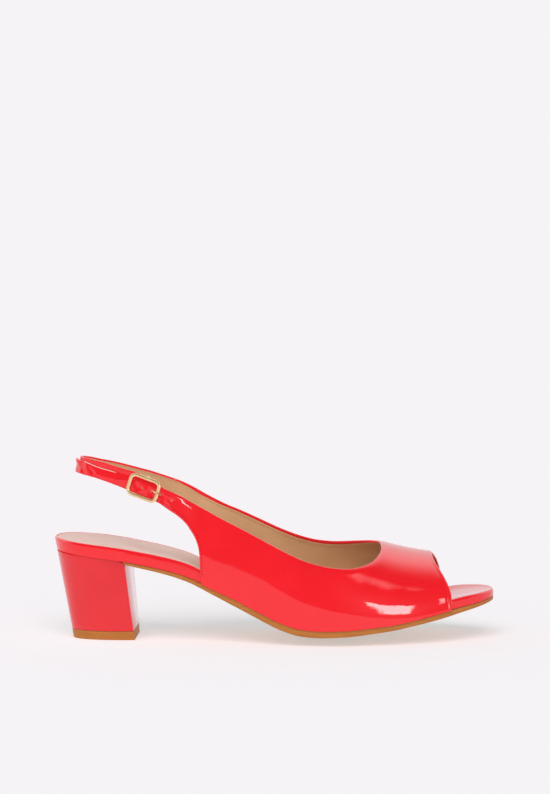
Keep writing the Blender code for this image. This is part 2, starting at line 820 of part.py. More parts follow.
def build_frame(finish, home, tools):
    long = BUCKLE_LONG / 2 - WIRE
    high = BUCKLE_HIGH / 2 - WIRE
    path = []
    corners = ((1, 1, 0), (-1, 1, 90), (-1, -1, 180), (1, -1, 270))
    for sx, sy, start in corners:
        for k in range(6):
            turn = math.radians(start + 18 * k)
            a = sx * (long - BUCKLE_CORNER) + BUCKLE_CORNER * math.cos(turn)
            b = sy * (high - BUCKLE_CORNER) + BUCKLE_CORNER * math.sin(turn)
            path.append(local(a, b, arch(a)))
        if sy == sx:
            for share in (0.25, 0.5, 0.75):
                a = sx * (long - BUCKLE_CORNER) * (1 - 2 * share)
                path.append(local(a, sy * high, arch(a)))
    obj = wire_mesh("buckle_frame", path, WIRE, True, finish, home)
    post = high + POST_OUT
    bar = [(post, arch(0.0)), (post, -BAR_DEPTH + 1.2), (post - 0.35, -BAR_DEPTH + 0.35)]
    bar.append((post - 1.2, -BAR_DEPTH))
    bar += [(0.0, -BAR_DEPTH)]
    bar += [(-b, c) for b, c in reversed(bar[:-1])]
    cross = wire_mesh("buckle_bar", [local(0.0, b, c) for b, c in bar], BAR, False, None, tools)
    cut(obj, cross, "UNION")
    return obj


def build_prong(finish, home):
    reach = BAR + GAP + PRONG
    path = []
    for k in range(9):
        turn = math.radians(-75 - 24 * k)
        path.append((reach * math.cos(turn), -BAR_DEPTH + reach * math.sin(turn)))
    rest = arch(BUCKLE_LONG / 2 - WIRE) + WIRE + GAP + PRONG
    last = path[-1]
    goal = (BUCKLE_LONG / 2 - WIRE, rest)
    for share in (0.3, 0.55, 0.8, 1.0):
        path.append((last[0] + (goal[0] - last[0]) * share, last[1] + (goal[1] - last[1]) * share))
    path.append((PRONG_REACH, rest + 0.15))
    return wire("buckle_prong", [local(a, 0.0, c) for a, c in path], PRONG, False, finish, home)


# Scene

def make_finishes():
    made = {}
    for name, red, green, blue, rough, metal in FINISH:
        material = bpy.data.materials.new(name)
        material.use_nodes = True
        shader = material.node_tree.nodes["Principled BSDF"]
        shader.inputs["Base Color"].default_value = (red, green, blue, 1.0)
        shader.inputs["Roughness"].default_value = rough
        shader.inputs["Metallic"].default_value = metal
        material.diffuse_color = (red, green, blue, 1.0)
        made[name] = material
    return made


def main():
    for obj in list(bpy.data.objects):
        bpy.data.objects.remove(obj)
    home = bpy.data.collections.new("block_heel_sandal")
    tools = bpy.data.collections.new("cutters")
    bpy.context.scene.collection.children.link(home)
    bpy.context.scene.collection.children.link(tools)
    finish = make_finishes()
    build_lift(finish["tan_sole"], home)
    build_heel(finish["red_patent"], home)
    build_outsole(finish["tan_sole"], home)
    build_footbed(finish["red_patent"], home)
    build_sock(finish["beige_lining"], home)
    build_upper(finish["red_patent"], home, tools)
    build_sling(finish["red_patent"], home, tools)
    build_frame(finish["gold_metal"], home, tools)
    build_prong(finish["gold_metal"], home)
    for cutter in tools.objects:
        cutter.hide_render = True
        cutter.display_type = "WIRE"


main()
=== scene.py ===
# Looks of the open-toe slingback sandal: leather, lining, stitches, sole, buckle, light and camera.
# Shapes are in millimetres and become metres in add_mesh.
# +X points to the toe, -Y to the outer side of the foot, +Z up, floor at zero.
import math

import bmesh
import bpy
import numpy as np
from mathutils import Matrix, Vector


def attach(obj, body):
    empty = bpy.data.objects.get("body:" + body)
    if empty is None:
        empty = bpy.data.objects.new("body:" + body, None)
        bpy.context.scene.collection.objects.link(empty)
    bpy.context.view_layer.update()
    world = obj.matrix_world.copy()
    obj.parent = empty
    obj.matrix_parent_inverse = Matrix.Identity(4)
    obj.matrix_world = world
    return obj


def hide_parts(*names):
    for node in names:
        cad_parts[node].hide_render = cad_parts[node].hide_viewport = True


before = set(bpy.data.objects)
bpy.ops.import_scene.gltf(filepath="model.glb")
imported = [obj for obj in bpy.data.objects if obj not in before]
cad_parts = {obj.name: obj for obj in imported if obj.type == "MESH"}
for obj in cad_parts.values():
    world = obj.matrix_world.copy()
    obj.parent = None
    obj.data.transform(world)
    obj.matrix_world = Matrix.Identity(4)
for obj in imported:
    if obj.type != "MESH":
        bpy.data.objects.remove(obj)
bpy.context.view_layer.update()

# Metres in a millimetre
MM = 0.001

# Driving sizes, the same as in the solids
BACK = -120.0
TOE = 120.0
HEEL_ROUND = 30.0
HEEL_POWER = 2.2
TOE_ROUND = 46.0
TOE_POWER = 2.3
GAP = 0.3
WALL = 1.5
LIFT_HEIGHT = 5.0
HEEL_HEIGHT = 47.0
SEAT_RISE = 4.0
SEAT_DISH = 0.6
FLARE_HEIGHT = 45.0
SOCK_THICK = 1.0
SOCK_FRONT = 63.0
SLING_THICK = 1.2
SLING_CLEAR = 0.1
WIRE = 0.8
BAR = 0.55
PRONG = 0.55
SKEW = math.radians(3.0)
FLAT_OUTER = 0.0
FLAT_INNER = 0.45
SOLE_BEND = 1.15
SEAT_BEND = 2.0
RIM_WIDTH = 1.7

# Rounded rim of the footbed: tuck of the edge, drop below the top
RIM_PROFILE = ((0.0, 1.5), (0.05, 1.1), (0.2, 0.66), (0.45, 0.3), (0.8, 0.08), (1.15, 0.0), (1.45, 0.06))

# Sizes of the leather work
EDGE_STEPS = (0.0, 0.25, 0.6, 1.0, 1.5, 1.6, 1.95, 2.6)
BORDER_COLUMNS = 5
LINING_COLUMN = 5
LINING_LOW = 3
LINING_BEAD = (0.1, 0.22, 0.08)
STITCH_COLUMN = 3
TAB_ROWS = 20
TAB_THIN = 0.06
TAB_SINK = (0.32, 0.55)
TAB_BLEND = 6
TAB_SHORT = 3
EDGE_FULL_AT = 14.0
MIDDLE_COLUMNS = 22
FAIR_ROUNDS = 16
EVEN_ROUNDS = 6
NORMAL_ROUNDS = 3
GIRTH_STEPS = 12

# Points per row of a table
SLING_STEPS = 8
NEAR_STEPS = 6
TAIL_STEPS = 5
STRAP_STEPS = 16
QUARTER_STEPS = 10
SIDE_STEPS = 8
TOE_STEPS = 6
BAR_STEPS = 4
PRONG_STEPS = 2

# Depths below the outer face: face of the lining, back of the patent, of its border and of the lining
UPPER_DEPTHS = (WALL, 0.8, 1.4, 0.95)
SLING_DEPTHS = (SLING_THICK, 0.55, SLING_THICK - 0.08, 0.66)

# Ribs with the depth of the border at the first and last end of a leather piece
UPPER_ENDS = (9, 0)
SLING_ENDS = (3, 3)

# Borders: roll of the topline, and settling of the upper on the sole
ROLL_WIDTH = 3.2
ROLL_DEPTH = 0.55
SOLE_DROP = 0.22

# Folded band round the toe opening: distance from its edge, rise
FOLD = ((0.0, 0.0), (0.5, 0.14), (1.1, 0.18), (1.6, -0.06), (2.0, -0.10), (2.8, 0.0))

# Stitches: first rib on the strap, sizes, then places along a thread and its rise, sink and least girth
STITCH_START = 142
STITCH_PITCH = 1.8
STITCH_LENGTH = 0.95
STITCH_RADIUS = 0.28
STITCH_SHARES = (-0.5, -0.36, -0.15, 0.15, 0.36, 0.5)
STITCH_TURNS = 6
STITCH_RISE = 0.35
STITCH_SINK = 1.2
STITCH_THIN = 0.05

# Cut edge of the lining on the top of the strap's end, coloured pale as a painted highlight: first and last
# rib, radius
CUT_EDGE = (36, 94, 0.28)

# Place inside the shoe that the outer faces look away from
INSIDE = (20.0, 0.0, 20.0)

# Punched holes of the strap in the side view: x, z
HOLES = ((-71.7, 84.2), (-66.2, 82.5), (-61.0, 80.8), (-54.9, 77.7))
HOLE_RADIUS = 0.55
HOLE_SOFT = 0.9
HOLE_DIMPLE = 0.2
HOLE_Y = -26.0
HOLE_LONG = 20.0

# Creases of the strap in the side view: x and z of both ends, width, depth
CREASES = (
    (-109.0, 94.6, -106.8, 94.0, 2.2, 0.9),
    (-107.7, 97.0, -105.5, 91.0, 0.9, -0.35),
    (-104.6, 95.6, -103.4, 91.0, 1.1, 0.35),
    (-101.0, 93.6, -98.6, 91.4, 1.2, 0.3),
    (-75.5, 88.2, -74.0, 84.2, 1.2, 0.3),
    (-68.6, 86.2, -67.0, 81.0, 1.3, 0.25),
    (-72.0, 87.6, -70.4, 83.6, 1.3, -0.2),
    (-61.5, 84.3, -49.2, 78.9, 1.5, -0.26),
    (-46.6, 78.2, -45.4, 77.4, 1.2, 0.3),
)
CREASE_FRONT = -42.0
CREASE_INNER = 4.0

# Studio: colour of the backdrop, of the floor and its glow, reach of the floor in metres
PALE = (0.922, 0.896, 0.922)
FLOOR_ALBEDO = (0.76, 0.62, 0.66)
FLOOR_GLOW = (0.371, 0.446, 0.443)
FLOOR_REACH = 40.0

# Key light: turn from the camera's side and rise in degrees, spread in degrees, strength
KEY = (-6.0, 50.0, 45.0, 1.57)

# Fill light of the room: sine of the height above the horizon, glow
FILL = ((0.0, 0.95), (0.25, 0.90), (0.5, 0.45), (0.75, 0.20), (1.0, 0.10))

# Canopy seen in the patent: tilt from upright towards the back in degrees, glow
CANOPY = (
    (-90, 0.03),
    (-12, 0.05),
    (0, 0.20),
    (6, 0.45),
    (12, 0.85),
    (20, 1.35),
    (30, 1.80),
    (42, 1.60),
    (60, 1.10),
    (72, 0.92),
)
CANOPY_RADIUS = 3.0
CANOPY_REACH = 9.0
CANOPY_STEP = 2.0

# Panels seen in the patent: name, glow, soft share of the edge, turn and rise of the four corners in degrees
PANELS = (
    ("streak", 14.0, 0.10, 21.0, 3.5, 31.0, 4.5, 33.5, 19.5, 21.0, 15.0),
    ("spot", 8.0, 0.25, 46.5, 14.0, 51.0, 14.0, 51.5, 28.0, 46.5, 28.0),
    ("soft", 2.0, 0.45, 29.0, 34.0, 53.0, 51.0, 53.0, 57.0, 27.0, 42.0),
)
PANEL_RADIUS = 2.9
PANEL_STEPS = 24

# Camera: lens and places in the photograph's pixels, rise in degrees, distance and height aimed at in metres
PHOTO_HIGH = 794
PHOTO_MIDDLE = (275.0, 397.0)
AIM_PIXEL = (274.5, 554.6)
LENS_PIXELS = 3658.0
CAMERA_RISE = 7.3
CAMERA_AWAY = 2.0
AIM_HEIGHT = 0.045
SENSOR = 36.0

# Sole and heel: points along the plan, bevels, clearances, rings of the heel and points round its half
PLAN_STEPS = 130
SOLE_SHARES = [math.sin(math.pi / 2 * (k / 12 - 1)) for k in range(25)]
SOLE_BEVEL = 0.35
SOLE_END = 0.05
SOLE_RIM = ((0.03, 0.06), (0.09, 0.10), (0.16, 0.115), (0.84, 0.115), (0.91, 0.10), (0.97, 0.06))
SOCK_CLEAR = 0.45
SOCK_END = 0.1
HEEL_CLEAR = 0.05
LIFT_CLEAR = 0.25
HEEL_RINGS = 14
HEEL_POINTS = 44
HEEL_BEVEL = 0.7
LIFT_BEVEL = 0.3

# Footbed: points closer than this are joined, faces thinner than this are dropped
JOIN_UNDER = 0.002
DROP_UNDER = 0.001

# Plan of the footbed: x, centre y, half width before the ends are rounded
OUTLINE = (
    (-120, 2.4, 27.5),
    (-90, 0.9, 27.5),
    (-70, -0.4, 26.5),
    (-45, -1.6, 25.2),
    (-20, -2.6, 27.5),
    (0, -3.2, 31.8),
    (20, -2.5, 36.0),
    (40, -1.0, 38.0),
    (60, 1.0, 37.2),
    (80, 2.5, 34.0),
    (100, 4.0, 30.0),
    (120, 5.5, 27.0),
)

# Outsole: x, height of the top edge, thickness, height of the bottom centre, reach past the footbed
SOLE = (
    (-83, 44.4, 0.3, 44.1, -1.0),
    (-79, 43.7, 1.4, 42.3, -0.4),
    (-60, 39.7, 1.9, 37.3, 0.0),
    (-47, 35.8, 2.3, 32.7, 0.2),
    (-34, 29.8, 2.7, 25.6, 0.9),
    (-21, 24.0, 3.5, 18.2, 1.2),
    (-8, 17.5, 3.6, 10.6, 1.2),
    (5, 11.7, 3.7, 3.5, 1.2),
    (14, 9.3, 3.7, 0.8, 1.2),
    (22, 8.5, 3.65, 0.0, 1.2),
    (26, 8.4, 3.6, 0.0, 1.2),
    (38, 8.7, 3.4, 0.0, 1.2),
    (50, 9.7, 3.2, 1.2, 1.2),
    (63, 11.1, 2.9, 3.6, 1.2),
    (76, 13.5, 2.8, 6.8, 1.2),
    (89, 16.4, 3.0, 10.4, 1.1),
    (102, 19.1, 2.7, 14.6, 0.2),
    (110, 20.4, 2.3, 17.0, 0.0),
    (120, 22.4, 1.9, 20.4, 0.0),
)

# Footbed: x, thickness at the rim, tuck of the edge inside the upper, depth of the seat, draw of the bottom
BOARD = (
    (-120, 7.0, 0.0, 1.4, 1.1),
    (-95, 7.1, 0.0, 1.4, 1.1),
    (-80, 6.8, 0.0, 1.4, 0.0),
    (-60, 7.0, 0.0, 1.4, 0.0),
    (-45, 7.2, 0.3, 1.4, 0.0),
    (-30, 6.4, 1.0, 1.4, 0.0),
    (0, 5.0, 1.0, 1.3, 0.0),
    (60, 5.0, 1.0, 1.0, 0.0),
    (80, 5.1, 1.0, 0.2, 0.0),
    (86, 5.2, 1.0, 0.0, 0.0),
    (99, 5.3, 0.3, 0.0, 0.0),
    (106, 5.1, 0.0, 0.0, 0.0),
    (113, 4.6, 0.0, 0.0, 0.0),
    (120, 3.6, 0.0, 0.0, 0.0),
)

# Heel: share of the height, back x, breast x, half width, centre y, roundness of the back
HEEL = (
    (0.0, -109.8, -75.2, 15.5, 1.0, 2.6),
    (1.0, -118.6, -79.6, 26.2, 1.4, 2.8),
)

# Sections of the upper: x, crest y, then outer and inner crest z, fullness and flare
SECTION = (
    (-75, 1.0, 175.0, 175.0, 2.80, 3.20, -2.0, 1.0),
    (-60, 1.0, 160.0, 165.0, 2.70, 3.20, -0.2, 3.5),
    (-40, 1.0, 118.0, 150.0, 2.10, 3.10, 0.0, 4.2),
    (-20, 1.5, 113.0, 118.0, 2.15, 2.90, 0.0, 3.2),
    (0, 2.0, 89.0, 89.0, 2.45, 2.70, 0.0, 1.6),
    (20, 3.0, 69.0, 69.0, 2.60, 2.50, 0.0, 0.6),
    (40, 4.5, 58.0, 58.0, 2.50, 2.30, 0.0, 0.0),
    (58, 6.0, 52.0, 52.0, 2.30, 2.20, 0.0, 0.0),
    (74, 7.0, 48.0, 48.0, 2.10, 2.15, 0.0, 0.0),
    (88, 8.0, 45.6, 45.6, 2.00, 2.15, 0.0, 0.0),
    (100, 8.5, 43.0, 43.0, 2.00, 2.15, 0.0, 0.0),
)

# Strap that runs on from the outer quarter: low x, y, z and top x, y, z, back end first
STRAP = (
    (-108.6, 2.5, 90.9, -108.8, 2.5, 98.2),
    (-108.4, -1.5, 90.4, -108.8, -1.5, 98.0),
    (-106.2, -5.8, 90.1, -106.4, -5.6, 97.6),
    (-102.6, -9.6, 89.5, -102.2, -9.8, 96.4),
    (-97.4, -13.5, 88.5, -96.4, -13.9, 94.6),
    (-91.6, -16.9, 86.9, -89.9, -17.5, 93.1),
    (-85.4, -20.0, 85.0, -83.2, -20.7, 91.8),
    (-79.1, -22.5, 82.7, -76.3, -23.4, 91.5),
    (-72.7, -24.8, 80.25, -69.8, -25.6, 89.4),
    (-66.6, -26.7, 78.2, -63.9, -27.4, 87.4),
)

# Outer quarter, back edge to sole: low x, low z, top x, top z
OUTER_QUARTER = (
    (-60.8, 75.5, -59.2, 84.4),
    (-57.0, 72.7, -55.4, 82.8),
    (-53.0, 70.0, -51.0, 80.7),
    (-49.7, 67.3, -47.0, 78.6),
    (-47.1, 64.6, -43.4, 76.5),
    (-45.2, 61.8, -40.2, 74.7),
    (-43.5, 59.1, -37.6, 73.2),
    (-42.2, 56.4, -35.2, 71.9),
    (-40.9, 52.3, -32.2, 70.2),
    (-40.2, 47.4, -29.2, 68.6),
    (-39.9, 40.9, -26.4, 67.1),
    (-39.6, 34.0, -24.0, 65.9),
)

# Outer side along the sole: low x, top x, top z
OUTER_SIDE = (
    (-39.6, -24.0, 65.9),
    (-30.0, -17.0, 62.4),
    (-18.0, -8.0, 57.7),
    (-4.0, 3.0, 52.1),
    (12.0, 14.0, 46.9),
    (28.0, 25.0, 43.7),
    (44.0, 34.0, 42.3),
    (60.0, 41.0, 42.1),
    (74.0, 45.8, 42.8),
    (86.0, 49.2, 43.7),
    (95.8, 51.7, 44.5),
)

# Outer half of the toe opening: low x, low share of the girth, top x, top share of the girth
OUTER_TOE = (
    (95.8, 0.0, 51.7, 0.538),
    (96.1, 0.10, 53.4, 0.577),
    (96.0, 0.18, 54.9, 0.618),
    (95.4, 0.26, 56.1, 0.665),
    (94.3, 0.34, 57.0, 0.710),
    (92.9, 0.42, 57.6, 0.755),
    (91.2, 0.51, 58.0, 0.800),
    (89.0, 0.61, 58.2, 0.850),
    (87.0, 0.73, 58.1, 0.905),
    (86.0, 1.0, 57.7, 1.0),
)

# Inner half of the toe opening, from the crest down
INNER_TOE = (
    (86.0, 1.0, 57.7, 1.0),
    (86.7, 0.87, 57.1, 0.940),
    (87.9, 0.74, 56.3, 0.892),
    (89.7, 0.60, 55.2, 0.852),
    (91.3, 0.45, 53.8, 0.819),
    (92.6, 0.30, 52.2, 0.789),
    (93.3, 0.15, 50.5, 0.758),
    (93.4, 0.0, 48.6, 0.727),
)

# Inner side along the sole, toe first: low x, top x, top z
INNER_SIDE = (
    (93.4, 48.6, 51.2),
    (84.0, 45.8, 50.9),
    (72.0, 41.9, 50.5),
    (58.0, 36.9, 50.0),
    (44.0, 30.7, 49.8),
    (28.0, 22.5, 50.5),
    (12.0, 13.0, 52.8),
    (-4.0, 2.0, 57.0),
    (-18.0, -9.0, 62.0),
    (-30.0, -18.0, 66.0),
    (-39.2, -24.4, 68.5),
)

# Inner quarter, sole to the tab under the sling strap: low x, low z, top x, top z
INNER_QUARTER = (
    (-39.2, 34.0, -24.4, 68.5),
    (-39.9, 41.0, -27.2, 69.8),
    (-40.2, 47.5, -30.0, 71.2),
    (-40.9, 52.5, -32.8, 72.7),
    (-42.4, 57.5, -35.6, 74.2),
    (-44.0, 61.0, -38.2, 75.6),
    (-46.0, 64.2, -41.2, 77.2),
    (-48.8, 67.8, -44.6, 79.1),
    (-52.0, 71.0, -48.4, 81.1),
    (-55.6, 74.0, -52.6, 83.1),
)

# Sling strap from the inner quarter round the back: x, y, z of the middle, half width
SLING = (
    (-39.6, 31.2, 71.9, 3.6),
    (-45.6, 31.1, 74.8, 4.1),
    (-51.6, 30.9, 77.5, 4.4),
    (-57.0, 29.9, 79.7, 4.4),
    (-63.2, 27.4, 82.1, 4.4),
    (-69.6, 24.1, 84.5, 4.4),
    (-76.0, 20.7, 86.6, 4.4),
    (-82.4, 17.2, 88.7, 4.4),
    (-89.0, 13.6, 90.8, 4.3),
    (-95.6, 9.7, 92.6, 4.2),
    (-101.2, 5.9, 94.3, 4.1),
    (-104.6, 2.0, 95.2, 4.0),
    (-105.2, -1.4, 95.3, 4.0),
    (-103.4, -5.0, 95.0, 4.0),
    (-99.6, -8.5, 94.2, 4.1),
    (-94.4, -12.0, 93.2, 4.2),
    (-88.2, -15.5, 91.5, 4.3),
    (-82.0, -18.5, 89.8, 4.4),
)

# Buckle: middle on the face of the strap, lean of the strap in plan and in slope
BUCKLE_AT = Vector((-70.2, -25.5, 84.6))
BUCKLE_TURN = math.radians(-18.1)
BUCKLE_SLOPE = math.radians(-17.8)
BUCKLE_LONG = 18.7
BUCKLE_HIGH = 12.8
BUCKLE_CORNER = 3.0
BUCKLE_CLEAR = 0.05
POST_OUT = 0.15
BAR_DEPTH = WALL + GAP + SLING_THICK + GAP + BAR + SLING_CLEAR
LOOP_RADIUS = BAR + GAP + SLING_THICK / 2
LOOP_STEPS = 16
PRONG_REACH = 9.6

# Frame: section as shares of the wire, height over the strap, points round a corner and round the wire
RING_WIDE = 1.2
RING_FLAT = 0.85
RING_LIFT = WIRE + GAP + BUCKLE_CLEAR
RING_CORNER = 12
RING_TURNS = 20

# Bend of the bar into its posts: tuck, rise
BAR_BEND = ((0.0, 2.0), (0.5, 0.8), (1.4, 0.0))
BAR_TURNS = 16
POST_SINK = 0.2

# Hook of the prong round the bar: first turn and step in degrees, count of points
HOOK = (-75, -16, 13)
PRONG_FLAT = 0.9
PRONG_CLEAR = 0.1
PRONG_TURNS = 14
TIP_RISE = 0.1

# Prong from the bar to the frame: share of the way, share of the rise
PRONG_RISE = ((0.3, 0.12), (0.55, 0.40), (0.8, 0.82), (1.0, 1.0))

# Slot of the sling strap for the prong: middle below the face; size along, across and out
SLOT_MIDDLE = -4.425
SLOT_SIZE = (6.0, 2.2, 5.55)

# Sling strap under the buckle: along, across, extra depth
SLING_NEAR = ((-6.5, 1.6, 0.35), (-3.2, 0.55, 0.08), (0.0, 0.0, 0.0))

# Sling strap turned back behind the bar: along, across, rise
SLING_TAIL = ((0.0, 0.0, 0.0), (-3.2, 0.1, -0.05), (-6.5, 0.25, 0.1), (-10.0, 0.4, 0.35))

ALONG = Vector((
    math.cos(BUCKLE_TURN) * math.cos(BUCKLE_SLOPE),
    math.sin(BUCKLE_TURN) * math.cos(BUCKLE_SLOPE),
    math.sin(BUCKLE_SLOPE),
))
OUTWARD = Vector((math.sin(BUCKLE_TURN), -math.cos(BUCKLE_TURN), 0.0))
ACROSS = OUTWARD.cross(ALONG).normalized()


# Curves through tables

def hermite(t, start, stop, bend, bend_next):
    value = (2 * t ** 3 - 3 * t ** 2 + 1) * start + (t ** 3 - 2 * t ** 2 + t) * bend
    return value + (3 * t ** 2 - 2 * t ** 3) * stop + (t ** 3 - t ** 2) * bend_next


def smooth(table, x, col):
    # Column of a table at x, on a curve that never overshoots its rows
    last = len(table) - 1
    if x <= table[0][0]:
        return table[0][col]
    if x >= table[last][0]:
        return table[last][col]
    row = 0
    while x > table[row + 1][0]:
        row += 1

    def rise(i):
        return (table[i + 1][col] - table[i][col]) / (table[i + 1][0] - table[i][0])

    def slope(i):
        if i == 0:
            return rise(0)
        if i == last:
            return rise(last - 1)
        before = rise(i - 1)
        after = rise(i)
        if before * after <= 0:
            return 0.0
        return 2 * before * after / (before + after)

    step = table[row + 1][0] - table[row][0]
    t = (x - table[row][0]) / step
    return hermite(t, table[row][col], table[row + 1][col], slope(row) * step, slope(row + 1) * step)


def through(rows, steps):
    # Points of a smooth curve through rows of equal length, with steps points per gap
    out = []
    last = len(rows) - 1
    for i in range(last):
        around = (rows[max(i - 1, 0)], rows[i], rows[i + 1], rows[min(i + 2, last)])
        for k in range(steps):
            point = []
            for a, b, c, d in zip(*around):
                bend = (c - a) / 2 if i > 0 else b * -1.5 + c * 2 - d * 0.5
                bend_next = (d - b) / 2 if i < last - 1 else c * 1.5 - b * 2 + a * 0.5
                point.append(hermite(k / steps, b, c, bend, bend_next))
            out.append(tuple(point))
    out.append(tuple(rows[last]))
    return out


def centre(x):
    return smooth(OUTLINE, x, 1)


def half(x):
    width = smooth(OUTLINE, x, 2)
    heel = (BACK + HEEL_ROUND - x, HEEL_ROUND, HEEL_POWER)
    toe = (x - TOE + TOE_ROUND, TOE_ROUND, TOE_POWER)
    for past, length, power in (heel, toe):
        if past > 0:
            width *= (1 - min(1.0, past / length) ** power) ** (1 / power)
    return width


def edge(x, side, reach):
    # Footbed edge moved outwards by reach, measured square to the edge
    a = max(BACK + 0.2, min(TOE - 0.2, x))
    ahead = centre(a + 0.1) + side * half(a + 0.1)
    behind = centre(a - 0.1) + side * half(a - 0.1)
    lean = (ahead - behind) / 0.2
    stretch = min(2.5, math.sqrt(1 + lean * lean))
    return centre(x) + side * max(0.4, half(x) + reach * stretch)


def dish(x, f, bend):
    # Drop of the sole below its edge at f, -1 and 1 being the outer and inner edge
    drop = smooth(SOLE, x, 1) - smooth(SOLE, x, 2) - smooth(SOLE, x, 3)
    start = FLAT_INNER if f > 0 else FLAT_OUTER
    rise = max(0.0, min(1.0, abs(f)) - start) / (1 - start)
    return drop * (1 - rise ** (SEAT_BEND if f > 0 else bend))


def sole_top(x, f):
    return smooth(SOLE, x, 1) - dish(x, f, SOLE_BEND)


def board_bottom(x, f):
    if x < SOLE[0][0]:
        share = (SOLE[0][0] - x) / (SOLE[0][0] - BACK)
        return SOLE[0][1] + GAP + share * SEAT_RISE
    return sole_top(x, f) + GAP


def board_rim(x):
    return board_bottom(x, 1.0) + smooth(BOARD, x, 1)


def seat(x, f):
    # Top of the footbed inside its rim
    drop = smooth(BOARD, x, 3)
    if x > SOLE[0][0]:
        drop += dish(x, f, SEAT_BEND) * SEAT_DISH
    return board_rim(x) - drop


# Mesh helpers

def unit(v):
    return v / np.maximum(np.linalg.norm(v, axis=-1, keepdims=True), 1e-9)


def run_along(line):
    # Distance of each point from the first, along a line or along each row of a grid
    steps = np.linalg.norm(np.diff(line, axis=-2), axis=-1)
    return np.concatenate([np.zeros(steps.shape[:-1] + (1,)), np.cumsum(steps, axis=-1)], axis=-1)


def square_to(grid):
    return unit(np.cross(np.gradient(grid, axis=0), np.gradient(grid, axis=1)))


def link(name, data):
    obj = bpy.data.objects.new(name, data)
    bpy.context.scene.collection.objects.link(obj)
    return obj


def shade(mesh, sharp):
    # Smooth faces, apart from edges that turn by more than sharp degrees
    mesh.shade_smooth()
    mesh.set_sharp_from_angle(angle=math.radians(sharp))


def add_mesh(name, points, faces, sharp=None):
    mesh = bpy.data.meshes.new(name)
    mesh.from_pydata((np.asarray(points, float) * MM).tolist(), [], faces)
    work = bmesh.new()
    work.from_mesh(mesh)
    bmesh.ops.recalc_face_normals(work, faces=work.faces)
    work.to_mesh(mesh)
    work.free()
    shade(mesh, sharp or 180)
    return link(name, mesh)


def settle(obj, sharp):
    # Bake the modifiers of a piece into its mesh
    bpy.context.view_layer.update()
    ready = obj.evaluated_get(bpy.context.evaluated_depsgraph_get())
    mesh = bpy.data.meshes.new_from_object(ready)
    old = obj.data
    obj.modifiers.clear()
    obj.data = mesh
    bpy.data.meshes.remove(old)
    mesh.name = obj.name
    shade(mesh, sharp)


def piece(obj, slot, *nodes):
    # Put a finished piece on the shoe
    obj.data.materials.clear()
    obj.data.materials.append(MATERIALS[slot])
    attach(obj, "root")
    if nodes:
        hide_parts(*nodes)
    return obj


def no_spill(obj):
    # Keep the red of a piece from tinting the pale floor
    obj.visible_diffuse = False


def round_rim(steps):
    # Half-round rim: share of the way from the outer to the inner face, bulge as a share of the wall
    rows = []
    for k in range(1, steps):
        turn = math.pi * k / steps
        rows.append(((1 - math.cos(turn)) / 2, math.sin(turn) / 2))
    return rows


def grid_faces(rows, cols, first=0):
    faces = []
    for i in range(rows - 1):
        for j in range(cols - 1):
            a = first + i * cols + j
            faces.append((a, a + 1, a + cols + 1, a + cols))
    return faces


def ring_faces(rings, count, first=0):
    # Faces between closed rings of count points each
    faces = []
    for r in range(rings - 1):
        for k in range(count):
            a = first + r * count + k
            b = first + r * count + (k + 1) % count
            faces.append((a, b, b + count, a + count))
    return faces


def rim_loop(rows, cols):
    # Places round the border of a grid, in order
    loop = [(0, j) for j in range(cols)]
    loop += [(i, cols - 1) for i in range(1, rows)]
    loop += [(rows - 1, j) for j in range(cols - 2, -1, -1)]
    loop += [(i, 0) for i in range(rows - 2, 0, -1)]
    return loop


def rim_directions(grid):
    # Direction in the surface that leaves the grid, for each place round its border
    rows, cols = grid.shape[:2]
    along = np.gradient(grid, axis=0)
    across = np.gradient(grid, axis=1)
    found = {}
    for i, j in rim_loop(rows, cols):
        out = np.zeros(3)
        for lead, cross, place, last in ((along, across, i, rows - 1), (across, along, j, cols - 1)):
            if place in (0, last):
                step = lead[i, j] if place else -lead[i, j]
                line = unit(cross[i, j])
                out = out + unit(step - line * step.dot(line))
        found[i, j] = unit(out)
    return found


def shell(name, outer, inner, rim, sharp=None, flat=()):
    # Closed piece between two faces of the same layout, with a shaped rim round the border
    # Rows named in flat keep a flat rim on their first column
    rows, cols = outer.shape[:2]
    points = list(outer.reshape(-1, 3)) + list(inner.reshape(-1, 3))
    back = rows * cols
    faces = grid_faces(rows, cols) + grid_faces(rows, cols, back)
    out = rim_directions((outer + inner) / 2)
    chains = []
    for i, j in rim_loop(rows, cols):
        top = outer[i, j]
        low = inner[i, j]
        wall = np.linalg.norm(top - low)
        chain = [i * cols + j]
        if j == 0 and i in flat:
            wall = 0.0
        for share, bulge in rim:
            chain.append(len(points))
            points.append(top + (low - top) * share + out[i, j] * bulge * wall)
        chain.append(back + i * cols + j)
        chains.append(chain)
    for here, there in zip(chains, chains[1:] + chains[:1]):
        for k in range(len(here) - 1):
            faces.append((here[k], here[k + 1], there[k + 1], there[k]))
    return add_mesh(name, points, faces, sharp)


def fair(grid, rounds):
    # Even out the inside of a grid and keep its border
    grid = grid.copy()
    for _ in range(rounds):
        mean = (grid[:-2, 1:-1] + grid[2:, 1:-1] + grid[1:-1, :-2] + grid[1:-1, 2:]) / 4
        grid[1:-1, 1:-1] += 0.5 * (mean - grid[1:-1, 1:-1])
    return grid


def face_normals(grid, inside):
    n = square_to(grid)
    if np.sum(n * (grid - np.array(inside))) < 0:
        n = -n
    for _ in range(NORMAL_ROUNDS):
        n[1:-1] = (n[:-2] + 2 * n[1:-1] + n[2:]) / 4
        n[:, 1:-1] = (n[:, :-2] + 2 * n[:, 1:-1] + n[:, 2:]) / 4
    return unit(n)


def local(a, b, c):
    # Buckle place: a along the strap to the toe, b up across it, c out of it
    return BUCKLE_AT + ALONG * a + ACROSS * b + OUTWARD * c


